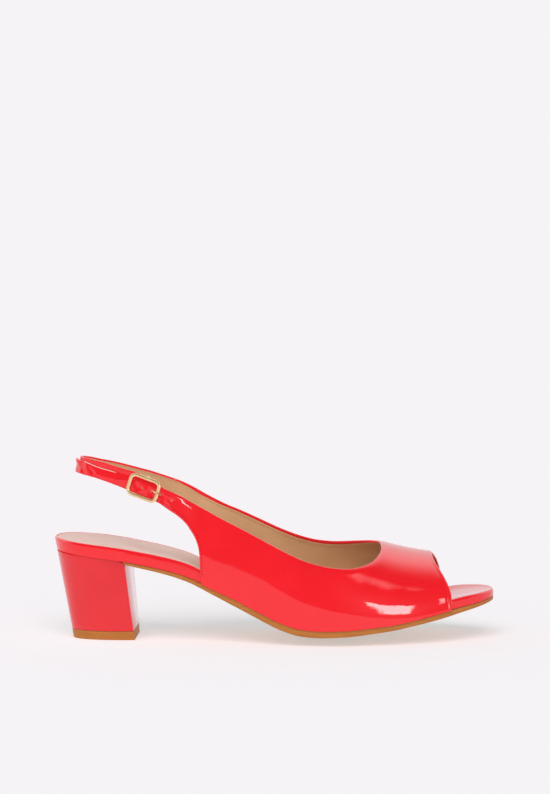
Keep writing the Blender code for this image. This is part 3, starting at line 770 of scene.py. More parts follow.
def sweep(name, path, sizes, turns, closed, up):
    # Oval wire along a path; up is the direction of its second size
    count = len(path)
    points = []
    for i, spot in enumerate(path):
        before = path[i - 1] if closed or i > 0 else spot
        after = path[(i + 1) % count] if closed or i < count - 1 else spot
        ahead = (Vector(after) - Vector(before)).normalized()
        wide = ahead.cross(Vector(up)).normalized()
        high = wide.cross(ahead).normalized()
        for k in range(turns):
            turn = 2 * math.pi * k / turns
            offset = wide * sizes[0] * math.cos(turn) + high * sizes[1] * math.sin(turn)
            points.append(Vector(spot) + offset)
    total = count * turns
    faces = [tuple(k % total for k in face) for face in ring_faces(count + closed, turns)]
    if not closed:
        faces += [tuple(range(turns)), tuple(range(total - turns, total))]
    return add_mesh(name, points, faces, sharp=60)


# Materials

def wire(tree, node, values, links):
    # Set plain values and links on the inputs of a node
    for name, value in values.items():
        node.inputs[name].default_value = value
    for name, output in links.items():
        tree.links.new(output, node.inputs[name])
    return node


def add_node(tree, kind, values, **links):
    return wire(tree, tree.nodes.new("ShaderNode" + kind), values, links)


def blank_material(name):
    material = bpy.data.materials.new(name)
    material.use_nodes = True
    tree = material.node_tree
    return material, tree, tree.nodes["Principled BSDF"]


def new_material(name):
    material, tree, shader = blank_material(name)
    return material, tree, shader, tree.nodes.new("ShaderNodeTexCoord").outputs["Object"]


def noise(tree, place, scale, detail, stretch=None):
    if stretch:
        place = add_node(tree, "Mapping", {"Scale": stretch}, Vector=place).outputs["Vector"]
    return add_node(tree, "TexNoise", {"Scale": scale, "Detail": detail}, Vector=place).outputs["Fac"]


def ramp(tree, factor, stops):
    node = add_node(tree, "ValToRGB", {}, Fac=factor)
    bands = node.color_ramp.elements
    while len(bands) < len(stops):
        bands.new(0.5)
    for band, (at, colour) in zip(bands, stops):
        band.position = at
        band.color = (*colour, 1.0)
    return node.outputs["Color"]


def clouds(tree, factor, dark, light):
    return ramp(tree, factor, ((0.3, dark), (0.7, light)))


def spanned(tree, factor, low, high):
    return add_node(tree, "MapRange", {"To Min": low, "To Max": high}, Value=factor).outputs["Result"]


def bump(tree, height, strength, distance, **before):
    sizes = {"Strength": strength, "Distance": distance}
    return add_node(tree, "Bump", sizes, Height=height, **before).outputs["Normal"]


def patent_red(name, dark, light):
    # Red leather under a clear coat with a slow ripple
    material, tree, shader, place = new_material(name)
    ripple = bump(tree, noise(tree, place, 140.0, 2.0), 0.06, 0.0006)
    values = {"Specular IOR Level": 0.12, "Coat Weight": 1.0, "Coat Roughness": 0.035, "Coat IOR": 1.48}
    wire(tree, shader, values, {
        "Base Color": clouds(tree, noise(tree, place, 45.0, 3.0), dark, light),
        "Roughness": spanned(tree, noise(tree, place, 900.0, 2.0), 0.30, 0.42),
        "Normal": bump(tree, noise(tree, place, 1600.0, 2.0), 0.05, 0.0001, Normal=ripple),
        "Coat Normal": ripple,
    })
    return material


def beige_lining(name, dark, light):
    # Soft leather with fine pores
    material, tree, shader, place = new_material(name)
    cells = add_node(tree, "TexVoronoi", {"Scale": 1300.0}, Vector=place)
    pores = bump(tree, cells.outputs["Distance"], 0.22, 0.00012)
    wire(tree, shader, {"Specular IOR Level": 0.4}, {
        "Base Color": clouds(tree, noise(tree, place, 60.0, 4.0), dark, light),
        "Roughness": spanned(tree, noise(tree, place, 500.0, 2.0), 0.48, 0.64),
        "Normal": bump(tree, noise(tree, place, 320.0, 3.0), 0.12, 0.0003, Normal=pores),
    })
    return material


def tan_sole():
    # Rubber with faint level streaks
    material, tree, shader, place = new_material("sole_tan")
    streak = noise(tree, place, 260.0, 4.0, (0.25, 0.25, 3.0))
    fine = bump(tree, noise(tree, place, 1500.0, 3.0), 0.25, 0.00012)
    wire(tree, shader, {"Specular IOR Level": 0.2}, {
        "Base Color": clouds(tree, streak, (0.44, 0.150, 0.028), (0.52, 0.190, 0.041)),
        "Roughness": spanned(tree, noise(tree, place, 400.0, 2.0), 0.42, 0.60),
        "Normal": bump(tree, streak, 0.15, 0.0002, Normal=fine),
    })
    return material


def gold_metal():
    material, tree, shader, place = new_material("metal_gold")
    wire(tree, shader, {"Metallic": 0.65}, {
        "Base Color": clouds(tree, noise(tree, place, 500.0, 3.0), (0.94, 0.62, 0.31), (0.99, 0.73, 0.42)),
        "Roughness": spanned(tree, noise(tree, place, 1800.0, 2.0), 0.20, 0.32),
        "Normal": bump(tree, noise(tree, place, 2600.0, 2.0), 0.06, 0.00005),
    })
    return material


def red_thread():
    material, tree, shader, place = new_material("thread_red")
    twist = noise(tree, place, 2400.0, 2.0)
    wire(tree, shader, {"Roughness": 0.7, "Specular IOR Level": 0.15}, {
        "Base Color": clouds(tree, twist, (0.56, 0.008, 0.018), (0.66, 0.012, 0.026)),
        "Normal": bump(tree, twist, 0.3, 0.0001),
    })
    return material


MATERIALS = {
    "red_patent": patent_red("patent_red", (0.87, 0.0080, 0.0150), (0.92, 0.0105, 0.0185)),
    "beige_lining": beige_lining("lining_beige", (0.62, 0.345, 0.165), (0.69, 0.40, 0.20)),
    "tan_sole": tan_sole(),
    "gold_metal": gold_metal(),
}
THREAD = red_thread()
# Darker copy of the red patent for the heel: painted shade for the heel's sides, which face down and get
# less light
HEEL_SHADED_RED = patent_red("heel_red_painted_shade", (0.77, 0.0075, 0.0150), (0.81, 0.0100, 0.0185))
SOCK = beige_lining("sock_beige", (0.87, 0.58, 0.485), (0.92, 0.63, 0.54))


# Upper

def section(x, side):
    # Height of the crest, fullness and flare on one side
    first = 2 if side < 0 else 3
    return [smooth(SECTION, x, first + step) for step in (0, 2, 4)]


def skin(x, v, side):
    # Outer face of the upper; v runs from the sole edge at 0 to the crest at 1
    crest_y = smooth(SECTION, x, 1)
    crest_z, power, flare = section(x, side)
    foot = smooth(SOLE, x, 1) + GAP
    width = abs(edge(x, side, GAP + WALL) - crest_y)
    turn = v * math.pi / 2
    z = foot + (crest_z - foot) * max(0.0, math.sin(turn)) ** (2 / power)
    y = width * max(0.0, math.cos(turn)) ** (2 / power) + flare * (z - foot) / FLARE_HEIGHT
    return (x, crest_y + side * y, z)


def girth(x, z, side):
    # Share of the girth at which the outer face reaches height z
    foot = smooth(SOLE, x, 1) + GAP
    crest_z, power, _ = section(x, side)
    share = max(0.0, min(1.0, (z - foot) / (crest_z - foot)))
    return math.asin(share ** (power / 2)) * 2 / math.pi


def columns(length, trim, low_trim=None):
    # Places along a rib as shares of its length, crowded at both edges and trimmed for the rim
    if low_trim is None:
        low_trim = trim
    tight = min(1.0, (length - trim - low_trim) / EDGE_FULL_AT)
    low = [low_trim + step * tight for step in EDGE_STEPS]
    top = [length - trim - step * tight for step in reversed(EDGE_STEPS)]
    gap = (top[0] - low[-1]) / (MIDDLE_COLUMNS + 1)
    middle = [low[-1] + gap * (k + 1) for k in range(MIDDLE_COLUMNS)]
    return [place / length for place in low + middle + top]


def skin_rib(low_x, low_v, top_x, top_v, side, low_trim=WALL / 2):
    def at(t):
        return skin(low_x + (top_x - low_x) * t, low_v + (top_v - low_v) * t, side)

    length = run_along(np.array([at(k / GIRTH_STEPS) for k in range(GIRTH_STEPS + 1)]))[-1]
    return [at(t) for t in columns(length, WALL / 2, low_trim)]


def height_ribs(table, side):
    ribs = []
    for low_x, low_z, top_x, top_z in through(table, QUARTER_STEPS):
        ribs.append(skin_rib(low_x, girth(low_x, low_z, side), top_x, girth(top_x, top_z, side), side))
    return ribs


def side_ribs(table, side):
    ribs = []
    for low_x, top_x, top_z in through(table, SIDE_STEPS):
        ribs.append(skin_rib(low_x, 0.0, top_x, girth(top_x, top_z, side), side, 0.0))
    return ribs


def toe_ribs(table, side):
    ribs = []
    for low_x, low_v, top_x, top_v in through(table, TOE_STEPS):
        ribs.append(skin_rib(low_x, min(1.0, max(0.0, low_v)), top_x, min(1.0, top_v), side))
    return ribs


def strap_ribs():
    # The strap rides on its own table and meets the first rib of the quarter
    low_x, low_z, top_x, top_z = OUTER_QUARTER[0]
    low = skin(low_x, girth(low_x, low_z, -1), -1)
    top = skin(top_x, girth(top_x, top_z, -1), -1)
    ribs = []
    for row in through(list(STRAP) + [low + top], STRAP_STEPS)[:-1]:
        low = np.array(row[:3])
        top = np.array(row[3:])
        length = np.linalg.norm(top - low)
        ribs.append([low + (top - low) * t for t in columns(length, WALL / 2)])
    return ribs


def upper_grid():
    # Ribs from the strap's end round the toe to the inner tab, the rows on the sole and those of the toe
    ribs = strap_ribs()
    ribs += height_ribs(OUTER_QUARTER, -1)[:-1]
    outer_start = len(ribs)
    ribs += side_ribs(OUTER_SIDE, -1)
    outer_stop = len(ribs)
    ribs += toe_ribs(OUTER_TOE, -1)[1:-1]
    ribs += toe_ribs(INNER_TOE, 1)[:-1]
    inner_start = len(ribs)
    ribs += side_ribs(INNER_SIDE, 1)
    inner_stop = len(ribs)
    ribs += height_ribs(INNER_QUARTER, 1)[1:]
    grid = np.array(ribs, float)
    even(grid[2:-2, -1])
    even(grid[outer_stop + 2:inner_start - 2, 0])
    grid = fair(grid, FAIR_ROUNDS)
    on_sole = list(range(outer_start, outer_stop)) + list(range(inner_start, inner_stop))
    for col in range(BORDER_COLUMNS):
        grid[on_sole, col, 2] -= SOLE_DROP * (1 - col / BORDER_COLUMNS)
    return grid, on_sole, slice(outer_stop, inner_start)


def even(line):
    # Take small kinks out of a border
    for _ in range(EVEN_ROUNDS):
        line[1:-1] += 0.5 * ((line[:-2] + line[2:]) / 2 - line[1:-1])


def edge_distance(grid, top):
    # Distance of each place from the top or low border, along its rib
    run = run_along(grid)
    return run[:, -1:] - run if top else run


def dress(name, grid, normals, wall, patent, border, lining, ends, thin, flat=()):
    # Patent skin with a folded border, and a lining with a beaded edge set in behind it
    # Without a border on the last rows the lining runs over the end
    first, last = ends
    count = len(grid)
    depth = np.full(grid.shape[:2], patent)
    depth[:, :BORDER_COLUMNS] = border
    depth[:, -BORDER_COLUMNS:] = border
    depth[:first] = border
    depth[count - last:] = border
    keep = count if last else count - TAB_SHORT
    under = grid - normals * (depth * thin)[..., None]
    red = shell(name + "_patent", grid[:keep], under[:keep], round_rim(8), flat=flat)
    rows = slice(first + 1, count - last - 1 if last else count)
    cols = slice(LINING_LOW, -LINING_COLUMN)
    bead = np.zeros(grid.shape[1])
    for k, rise in enumerate(LINING_BEAD):
        bead[LINING_LOW + k] = rise
        bead[-1 - LINING_COLUMN - k] = rise
    face = (grid - normals * ((wall + bead) * thin)[..., None])[rows, cols]
    back = (grid - normals * (lining * thin)[..., None])[rows, cols]
    beige = shell(name + "_lining", face, back, round_rim(6))
    return red, beige


def build_upper():
    grid, on_sole, toe = upper_grid()
    normals = face_normals(grid, INSIDE)
    near_top = np.clip(1 - edge_distance(grid, True) / ROLL_WIDTH, 0, 1)
    start = len(grid) - TAB_ROWS
    on_tab = np.clip((np.arange(len(grid)) - start) / TAB_BLEND + 1, 0, 1)[:, None]
    depth = near_top ** 2 * ROLL_DEPTH * (1 - on_tab) + strap_dents(grid) - on_tab * TAB_SINK[0]
    away, rise = np.array(FOLD).T
    depth[toe] -= np.interp(edge_distance(grid[toe], False), away, rise)
    grid = grid - normals * depth[..., None]
    normals = face_normals(grid, INSIDE)
    thin = np.ones((len(grid), 1))
    thin[start:, 0] = np.linspace(1.0, TAB_THIN, TAB_ROWS)
    sink = np.linspace(0.0, TAB_SINK[1] - TAB_SINK[0], TAB_ROWS)
    grid[start:] += normals[start:] * sink[:, None, None]
    red, beige = dress("upper", grid, normals, *UPPER_DEPTHS, UPPER_ENDS, thin, set(on_sole))
    carve([red], [hole_cutter(x, z) for x, z in HOLES])
    no_spill(piece(red, "red_patent", "upper"))
    piece(beige, "beige_lining")
    return grid, normals


def strap_dents(grid):
    # Depth of the listed creases and of the dimples round the holes, on the strap only
    x = grid[..., 0]
    z = grid[..., 2]
    depth = np.zeros(x.shape)
    for x1, z1, x2, z2, width, deep in CREASES:
        run = np.array((x2 - x1, z2 - z1))
        share = np.clip(((x - x1) * run[0] + (z - z1) * run[1]) / run.dot(run), 0, 1)
        away = np.hypot(x - x1 - run[0] * share, z - z1 - run[1] * share)
        depth += deep * np.exp(-(away / width) ** 2)
    for hole_x, hole_z in HOLES:
        depth += HOLE_DIMPLE * np.exp(-(np.hypot(x - hole_x, z - hole_z) / HOLE_SOFT) ** 2)
    on_strap = (grid[..., 1] < CREASE_INNER) & (x < CREASE_FRONT)
    return np.where(on_strap, depth, 0.0)


def cutter(name, work, place):
    bmesh.ops.transform(work, matrix=place, verts=work.verts)
    mesh = bpy.data.meshes.new(name)
    work.to_mesh(mesh)
    work.free()
    return link(name, mesh)


def hole_cutter(x, z):
    # Pin through the strap where it is punched
    work = bmesh.new()
    sizes = {"radius1": HOLE_RADIUS * MM, "radius2": HOLE_RADIUS * MM, "depth": HOLE_LONG * MM}
    bmesh.ops.create_cone(work, cap_ends=True, segments=20, **sizes)
    turn = OUTWARD.to_track_quat("Z", "Y").to_matrix().to_4x4()
    return cutter("hole_cutter", work, Matrix.Translation(Vector((x, HOLE_Y, z)) * MM) @ turn)


def slot_cutter():
    # Block through the sling strap where the prong comes out
    work = bmesh.new()
    bmesh.ops.create_cube(work, size=MM)
    turn = Matrix((ALONG * SLOT_SIZE[0], ACROSS * SLOT_SIZE[1], OUTWARD * SLOT_SIZE[2]))
    shift = Matrix.Translation(local(0.0, 0.0, SLOT_MIDDLE) * MM)
    return cutter("slot_cutter", work, shift @ turn.transposed().to_4x4())


def carve(pieces, cutters):
    # Cut the pieces and drop the cutters
    for obj in pieces:
        for tool in cutters:
            cut = obj.modifiers.new(tool.name, "BOOLEAN")
            cut.operation = "DIFFERENCE"
            cut.solver = "EXACT"
            cut.object = tool
        settle(obj, sharp=50)
    for tool in cutters:
        bpy.data.objects.remove(tool)


# Sling strap

def sling_path():
    # Middle line and half width, round the foot, under the strap, round the bar and back
    rows = through(SLING, SLING_STEPS)
    path = [Vector(row[:3]) for row in rows]
    halves = [row[3] for row in rows]
    depth = -(WALL + GAP + SLING_THICK / 2 + SLING_CLEAR)
    near = [local(a, b, depth - sink) for a, b, sink in SLING_NEAR]
    run = through([path[-1 - SLING_STEPS], path[-1]] + near, NEAR_STEPS)[NEAR_STEPS:]
    path = path[:-1] + [Vector(p) for p in run]
    for k in range(1, LOOP_STEPS):
        turn = math.pi / 2 - math.pi * k / LOOP_STEPS
        path.append(local(LOOP_RADIUS * math.cos(turn), 0.0, -BAR_DEPTH + LOOP_RADIUS * math.sin(turn)))
    tail = [local(a, b, -BAR_DEPTH - LOOP_RADIUS + rise) for a, b, rise in SLING_TAIL]
    path += [Vector(p) for p in through(tail, TAIL_STEPS)]
    halves += [halves[-1]] * (len(path) - len(halves))
    return path, halves


def build_sling():
    path, halves = sling_path()
    last = len(path) - 1
    under_buckle = SLING_STEPS * (len(SLING) - 2)
    grid = []
    for i, spot in enumerate(path):
        ahead = (path[min(i + 1, last)] - path[max(i - 1, 0)]).normalized()
        blend = max(0.0, min(1.0, (i - under_buckle) / SLING_STEPS))
        guide = Vector((0, 0, 1)).lerp(ACROSS, blend)
        tip = (guide - ahead * guide.dot(ahead)).normalized()
        shares = columns(2 * halves[i], SLING_THICK / 2)
        grid.append([spot + tip * halves[i] * (2 * t - 1) for t in shares])
    grid = np.array(grid)
    normals = square_to(grid)
    # The first rib lies on the inner side, where outwards is +Y
    if normals[0, 0, 1] < 0:
        normals = -normals
    grid = grid + normals * SLING_THICK / 2
    red, beige = dress("sling", grid, normals, *SLING_DEPTHS, SLING_ENDS, np.ones((len(grid), 1)))
    carve([red, beige], [slot_cutter()])
    piece(red, "red_patent", "sling_strap")
    piece(beige, "beige_lining")


# Sole, footbed and heel

def plan_rows(reach, start=BACK, stop=TOE):
    # Pairs of outer and inner points of the footbed outline, moved outwards by reach(x)
    xs = [BACK + (TOE - BACK) * (1 - math.cos(math.pi * k / PLAN_STEPS)) / 2 for k in range(PLAN_STEPS + 1)]
    outer = [(x, centre(x) - half(x)) for x in xs]
    inner = [(x, centre(x) + half(x)) for x in xs]
    loop = np.array(outer + inner[-2:0:-1])
    ahead = np.roll(loop, -1, axis=0) - np.roll(loop, 1, axis=0)
    out = unit(np.stack([ahead[:, 1], -ahead[:, 0]], axis=1))
    moved = loop + out * np.array([reach(x) for x in loop[:, 0]])[:, None]
    count = len(moved)
    rows = []
    for k in range(PLAN_STEPS + 1):
        if start <= xs[k] <= stop:
            rows.append((moved[k], moved[-k % count]))
    return rows


def across(row, shares, height):
    # Points across the sole between a pair of edge points, with height(x, f)
    low, top = row
    out = []
    for f in shares:
        x, y = low + (top - low) * (f + 1) / 2
        out.append((x, y, height(x, f)))
    return out


def sheet(rows, height):
    return np.array([across(row, SOLE_SHARES, height) for row in rows])


def build_outsole():
    rows = plan_rows(lambda x: smooth(SOLE, x, 4) - SOLE_BEVEL, SOLE[0][0], TOE - SOLE_END)
    low = sheet(rows, lambda x, f: sole_top(x, f) - smooth(SOLE, x, 2))
    piece(shell("outsole_edge", sheet(rows, sole_top), low, SOLE_RIM, sharp=50), "tan_sole", "outsole")


def build_footbed():
    # Wrapped board: a bottom, a wall, a rounded rim and a seat inside it
    low_rows = plan_rows(lambda x: -smooth(BOARD, x, 2) - smooth(BOARD, x, 4))
    loops = [[across(row, (-1.0, 1.0), board_bottom) for row in low_rows]]
    for tuck, drop in RIM_PROFILE:
        rows = plan_rows(lambda x: -smooth(BOARD, x, 2) - tuck)
        loops.append([across(row, (-1.0, 1.0), lambda x, f: board_rim(x) - drop) for row in rows])
    points = [point for loop in loops for pair in loop for point in pair]
    count = len(low_rows)
    rings = [[(2 * k, 2 * k + 1) for k in range(n * count, (n + 1) * count)] for n in range(len(loops))]
    faces = []
    for here, there in zip(rings, rings[1:]):
        for a, b, c, d in zip(here, here[1:], there, there[1:]):
            faces.append((a[0], b[0], d[0], c[0]))
            faces.append((a[1], b[1], d[1], c[1]))
        for end in (0, -1):
            faces.append((here[end][0], here[end][1], there[end][1], there[end][0]))
    top_rows = plan_rows(lambda x: -smooth(BOARD, x, 2) - RIM_WIDTH)
    close_face(points, faces, rings[-1], [across(row, SOLE_SHARES, seat) for row in top_rows])
    close_face(points, faces, rings[0], [across(row, SOLE_SHARES[1:-1], board_bottom) for row in low_rows])
    obj = add_mesh("footbed_wrap", points, faces, sharp=55)
    weld(obj.data)
    no_spill(piece(obj, "red_patent", "footbed"))


def close_face(points, faces, ring, rows):
    # Fill between the two sides of a ring with rows of points
    ids = []
    for (low, top), row in zip(ring, rows):
        line = [low]
        for point in row:
            line.append(len(points))
            points.append(point)
        line.append(top)
        ids.append(line)
    for here, there in zip(ids, ids[1:]):
        for a, b, c, d in zip(here, here[1:], there, there[1:]):
            faces.append((a, b, d, c))
    for end in (0, -1):
        faces.append(tuple(ids[end]))


def weld(mesh):
    work = bmesh.new()
    work.from_mesh(mesh)
    bmesh.ops.remove_doubles(work, verts=work.verts, dist=JOIN_UNDER * MM)
    bmesh.ops.dissolve_degenerate(work, edges=work.edges, dist=DROP_UNDER * MM)
    bmesh.ops.recalc_face_normals(work, faces=work.faces)
    work.to_mesh(mesh)
    work.free()


def build_sock():
    rows = plan_rows(lambda x: -smooth(BOARD, x, 2) - RIM_WIDTH - SOCK_CLEAR, BACK + SOCK_END, SOCK_FRONT)
    low = sheet(rows, lambda x, f: seat(x, f) + GAP)
    top = sheet(rows, lambda x, f: seat(x, f) + GAP + SOCK_THICK)
    obj = piece(shell("sock_lining", top, low, round_rim(6)), "beige_lining", "insole_sock")
    obj.data.materials[0] = SOCK


def heel_ring(share, level):
    # Flat breast, straight sides and a rounded back; level gives the height at a place
    low, top = HEEL
    row = [a + (b - a) * share for a, b in zip(low, top)]
    back, breast, width, middle, power = row[1:]
    ring = []
    for k in range(-HEEL_POINTS, HEEL_POINTS + 1):
        turn = math.pi / 2 * (1 - abs(k) / HEEL_POINTS)
        x = breast + (back - breast) * math.sin(turn) ** (2 / power)
        y = math.copysign(width * math.cos(turn) ** (2 / power), k)
        x += math.tan(SKEW) * y * (x - back) / (breast - back)
        ring.append((x, middle + y, level(x)))
    return ring


def heel_top(x):
    # Under the footbed, and lower where the thin end of the outsole lies on the heel
    back, front = SOLE[0], SOLE[1]
    fall = (front[3] - back[3]) / (front[0] - back[0])
    wedge = back[3] + fall * (x - back[0])
    share = (back[0] - x) / (back[0] - BACK)
    return min(back[1] + share * SEAT_RISE, wedge - GAP)


def stack(name, rings, bevel):
    # Closed piece through rings that run from one breast corner round the back to the other
    count = len(rings[0])
    points = [point for ring in rings for point in ring]
    faces = ring_faces(len(rings), count)
    for base in (0, (len(rings) - 1) * count):
        for k in range(count // 2):
            a = base + k
            b = base + count - 1 - k
            faces.append((a, a + 1, b - 1, b) if a + 1 < b - 1 else (a, a + 1, b))
    obj = add_mesh(name, points, faces)
    soft = obj.modifiers.new("edges", "BEVEL")
    soft.width = bevel * MM
    soft.segments = 3
    soft.limit_method = "ANGLE"
    soft.angle_limit = math.radians(50)
    settle(obj, sharp=40)
    return obj


def build_heel():
    bottom = LIFT_HEIGHT + HEEL_CLEAR
    first = bottom / HEEL_HEIGHT
    rings = []
    for part in np.linspace(0, 1, HEEL_RINGS + 1):
        rings.append(heel_ring(first + (1 - first) * part, lambda x: bottom + part * (heel_top(x) - bottom)))
    obj = piece(stack("heel_wrap", rings, HEEL_BEVEL), "red_patent", "heel_block")
    # The heel wears the darker red patent, which is painted shade
    obj.data.materials[0] = HEEL_SHADED_RED
    no_spill(obj)


def build_lift():
    top = LIFT_HEIGHT - LIFT_CLEAR
    rings = [heel_ring(z / HEEL_HEIGHT, lambda x: z) for z in (0.0, top * 0.5, top)]
    piece(stack("lift_edge", rings, LIFT_BEVEL), "tan_sole", "top_lift")


# Buckle

def build_frame():
    wide = WIRE * RING_WIDE
    long = BUCKLE_LONG / 2 - wide
    high = BUCKLE_HIGH / 2 - wide
    path = []
    for sx, sy, start in ((1, 1, 0), (-1, 1, 90), (-1, -1, 180), (1, -1, 270)):
        for k in range(RING_CORNER + 1):
            turn = math.radians(start + 90 * k / RING_CORNER)
            a = sx * (long - BUCKLE_CORNER) + BUCKLE_CORNER * math.cos(turn)
            b = sy * (high - BUCKLE_CORNER) + BUCKLE_CORNER * math.sin(turn)
            path.append(local(a, b, RING_LIFT))
    ring = sweep("buckle_ring", path, (wide, WIRE * RING_FLAT), RING_TURNS, True, OUTWARD)
    piece(ring, "gold_metal", "buckle_frame")


def build_bar():
    # Bar behind the strap, bent into a post at each end
    post = BUCKLE_HIGH / 2 - WIRE + POST_OUT
    bend = [(post, RING_LIFT - POST_SINK)] + [(post - tuck, rise - BAR_DEPTH) for tuck, rise in BAR_BEND]
    line = [local(0.0, b, c) for b, c in bend] + [local(0.0, -b, c) for b, c in reversed(bend)]
    bar = sweep("buckle_bar", through(line, BAR_STEPS), (BAR, BAR), BAR_TURNS, False, ALONG)
    piece(bar, "gold_metal")


def build_prong():
    # Hooked round the bar, out through the sling strap and onto the frame
    reach = BAR + GAP + PRONG
    first, step, count = HOOK
    hook = []
    for k in range(count):
        turn = math.radians(first + step * k)
        hook.append((reach * math.cos(turn), -BAR_DEPTH + reach * math.sin(turn)))
    rest = RING_LIFT + WIRE * RING_FLAT + PRONG_CLEAR + PRONG
    last = hook[-1]
    goal = (BUCKLE_LONG / 2 - WIRE, rest)
    for share, lifted in PRONG_RISE:
        hook.append((last[0] + (goal[0] - last[0]) * share, last[1] + (goal[1] - last[1]) * lifted))
    hook.append((PRONG_REACH, rest + TIP_RISE))
    path = through([local(a, 0.0, c) for a, c in hook], PRONG_STEPS)
    tongue = sweep("buckle_tongue", path, (PRONG, PRONG * PRONG_FLAT), PRONG_TURNS, False, ACROSS)
    piece(tongue, "gold_metal", "buckle_prong")


# Stitches

def stitch_row(points, faces, line, normals):
    # Short threads along a line of points on the leather, thick in the middle and sunk at both ends
    run = run_along(line)
    shares = np.array(STITCH_SHARES)
    fall = (2 * shares[:, None]) ** 4
    turn = 2 * np.pi * np.arange(STITCH_TURNS) / STITCH_TURNS
    thick = STITCH_RADIUS * np.sqrt(np.maximum(STITCH_THIN, 1 - fall))
    height = STITCH_RADIUS * (STITCH_RISE - STITCH_SINK * fall) + thick * np.sin(turn)
    for n in range(int(run[-1] / STITCH_PITCH)):
        places = (n + 0.5) * STITCH_PITCH + shares * STITCH_LENGTH
        spots = np.stack([np.interp(places, run, column) for column in line.T], axis=1)
        ups = unit(np.stack([np.interp(places, run, column) for column in normals.T], axis=1))
        sides = np.cross(unit(spots[-1] - spots[0]), ups)
        rings = spots[:, None] + ups[:, None] * height[..., None]
        rings = rings + sides[:, None] * (thick * np.cos(turn))[..., None]
        faces += ring_faces(len(shares), STITCH_TURNS, len(points))
        faces.append(tuple(range(len(points), len(points) + STITCH_TURNS)))
        points += rings.reshape(-1, 3).tolist()
        faces.append(tuple(range(len(points) - STITCH_TURNS, len(points))))


def build_stitches(grid, normals):
    points = []
    faces = []
    strap = STRAP_STEPS * len(STRAP)
    quarter = strap + QUARTER_STEPS * (len(OUTER_QUARTER) - 1)
    inner = len(grid) - QUARTER_STEPS * (len(INNER_QUARTER) - 1)
    for start, stop in ((STITCH_START, quarter), (inner, len(grid) - TAB_ROWS)):
        stitch_row(points, faces, grid[start:stop, STITCH_COLUMN], normals[start:stop, STITCH_COLUMN])
    obj = add_mesh("stitching", points, faces)
    piece(obj, "red_patent")
    obj.data.materials[0] = THREAD


def build_cut_edge(grid, normals):
    # Lining edge along the top of the strap's end, sunk at both ends; its paler colour is a painted
    # highlight, so it shows as a thin pale line
    start, stop, radius = CUT_EDGE
    line = grid[start:stop, -1] - normals[start:stop, -1] * WALL / 2
    line[:, 2] += WALL / 2 - 2 * radius * np.linspace(-1, 1, stop - start) ** 6
    obj = sweep("strap_cut_edge", line.tolist(), (radius, radius), 10, False, (0, 0, 1))
    piece(obj, "beige_lining")
    # The paler sock colour on this lining edge paints its highlight
    obj.data.materials[0] = SOCK


# Studio

def stage_mesh(name, points, faces, material):
    mesh = bpy.data.meshes.new(name)
    mesh.from_pydata(points, [], faces)
    mesh.materials.append(material)
    obj = link(name, mesh)
    return obj


def stage_quad(name, corners, colour, glow):
    # Plain matt face that also glows
    material, tree, shader = blank_material(name)
    values = {"Base Color": (*colour, 1.0), "Roughness": 1.0, "Specular IOR Level": 0.0}
    wire(tree, shader, {**values, "Emission Color": (*glow, 1.0), "Emission Strength": 1.0}, {})
    return stage_mesh(name, corners, [(0, 1, 2, 3)], material)


def build_room():
    # Floor, and a pale wall far behind the shoe that only the camera and reflections see
    s = FLOOR_REACH
    stage_quad("floor", [(-s, -s, 0), (s, -s, 0), (s, s, 0), (-s, s, 0)], FLOOR_ALBEDO, FLOOR_GLOW)
    corners = [(-2 * s, s, 0), (2 * s, s, 0), (2 * s, s, s), (-2 * s, s, s)]
    wall = stage_quad("backdrop", corners, (0.0, 0.0, 0.0), PALE)
    wall.visible_diffuse = False
    wall.visible_shadow = False


def glow_material(name, see_through):
    # Light whose strength is written on the points; see-through adds it to what lies behind
    material, tree, shader = blank_material(name)
    tree.nodes.remove(shader)
    strength = tree.nodes.new("ShaderNodeAttribute")
    strength.attribute_name = "glow"
    result = add_node(tree, "Emission", {}, Strength=strength.outputs["Fac"]).outputs["Emission"]
    if see_through:
        both = tree.nodes.new("ShaderNodeAddShader")
        tree.links.new(result, both.inputs[0])
        tree.links.new(tree.nodes.new("ShaderNodeBsdfTransparent").outputs["BSDF"], both.inputs[1])
        result = both.outputs["Shader"]
    tree.links.new(result, tree.nodes["Material Output"].inputs["Surface"])
    return material


def reflection(name, grid, glow, see_through):
    # Studio surface seen only in reflections, a grid of points with a glow for each
    faces = grid_faces(*grid.shape[:2])
    obj = stage_mesh(name, grid.reshape(-1, 3).tolist(), faces, glow_material(name, see_through))
    obj.data.attributes.new("glow", "FLOAT", "POINT").data.foreach_set("value", glow.ravel())
    obj.visible_camera = False
    obj.visible_diffuse = False
    obj.visible_shadow = False


def toward(turn, rise):
    # Direction to a place, turned from the camera's side and raised
    return np.stack([np.sin(turn) * np.cos(rise), -np.cos(turn) * np.cos(rise), np.sin(rise)], axis=-1)


def build_canopy():
    # Half tunnel over the shoe, dark in front and bright behind
    tilts = np.arange(CANOPY[0][0], CANOPY[-1][0] + 1, CANOPY_STEP)
    turn = np.radians(tilts)
    grid = np.zeros((2, len(tilts), 3))
    grid[0, :, 0] = -CANOPY_REACH
    grid[1, :, 0] = CANOPY_REACH
    grid[..., 1] = CANOPY_RADIUS * np.sin(turn)
    grid[..., 2] = CANOPY_RADIUS * np.cos(turn)
    glow = np.array([smooth(CANOPY, tilt, 1) for tilt in tilts])
    reflection("canopy", grid, np.stack([glow, glow]), False)


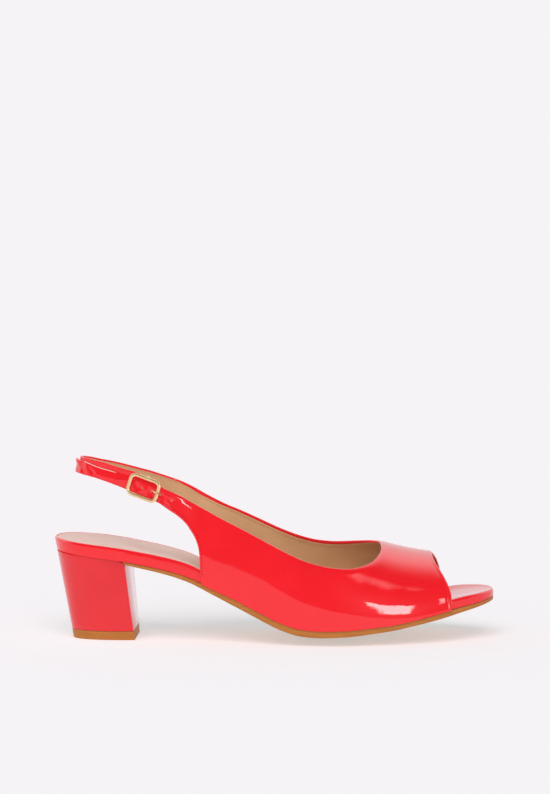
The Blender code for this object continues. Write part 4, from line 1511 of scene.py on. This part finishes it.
def build_panel(name, glow, soft, *corners):
    # Panel on a sphere round the shoe between four corners, fading towards its edge
    share = np.linspace(0.0, 1.0, PANEL_STEPS + 1)
    a, b = np.meshgrid(share, share, indexing="ij")
    weights = np.stack([(1 - a) * (1 - b), a * (1 - b), a * b, (1 - a) * b])
    turn, rise = np.einsum("nij,nk->kij", weights, np.radians(np.array(corners).reshape(4, 2)))
    inside = np.minimum(np.minimum(a, 1 - a), np.minimum(b, 1 - b)) / soft
    fade = np.clip(inside, 0, 1)
    reflection(name, toward(turn, rise) * PANEL_RADIUS, glow * fade * fade * (3 - 2 * fade), True)


def add_key(turn, rise, spread, strength):
    # Soft light for the leather and the floor, kept out of the reflections
    data = bpy.data.lights.new("key", "SUN")
    data.energy = strength
    data.angle = math.radians(spread)
    lamp = link("key", data)
    aim = Vector(toward(math.radians(turn), math.radians(rise)))
    lamp.rotation_euler = aim.to_track_quat("Z", "Y").to_euler()
    lamp.visible_glossy = False


def build_light():
    world = bpy.data.worlds.new("studio")
    world.use_nodes = True
    tree = world.node_tree
    place = tree.nodes.new("ShaderNodeTexCoord")
    parts = add_node(tree, "SeparateXYZ", {}, Vector=place.outputs["Generated"])
    stops = [(at, (glow, glow, glow)) for at, glow in FILL]
    tree.links.new(ramp(tree, parts.outputs["Z"], stops), tree.nodes["Background"].inputs["Color"])
    bpy.context.scene.world = world
    build_canopy()
    for row in PANELS:
        build_panel(*row)
    add_key(*KEY)


def build_camera():
    # The photograph's view, with the lens and the place aimed at in its own pixels
    rise = math.radians(CAMERA_RISE)
    pitch = rise - math.atan((AIM_PIXEL[1] - PHOTO_MIDDLE[1]) / LENS_PIXELS)
    turn = math.atan((AIM_PIXEL[0] - PHOTO_MIDDLE[0]) / LENS_PIXELS)
    back = Vector(toward(turn, pitch))
    right = Vector((math.cos(turn), math.sin(turn), 0.0))
    data = bpy.data.cameras.new("camera")
    data.sensor_width = SENSOR
    data.lens = LENS_PIXELS / PHOTO_HIGH * SENSOR
    camera = link("camera", data)
    place = Vector((0, 0, AIM_HEIGHT)) + CAMERA_AWAY * Vector(toward(0.0, rise))
    axes = Matrix((right, back.cross(right), back)).transposed()
    camera.matrix_world = Matrix.Translation(place) @ axes.to_4x4()
    bpy.context.scene.camera = camera


build_camera()
upper, upper_normals = build_upper()
build_sling()
build_outsole()
build_footbed()
build_sock()
build_heel()
build_lift()
build_frame()
build_bar()
build_prong()
build_stitches(upper, upper_normals)
build_cut_edge(upper, upper_normals)
build_room()
build_light()
bpy.context.scene.view_settings.view_transform = "Standard"
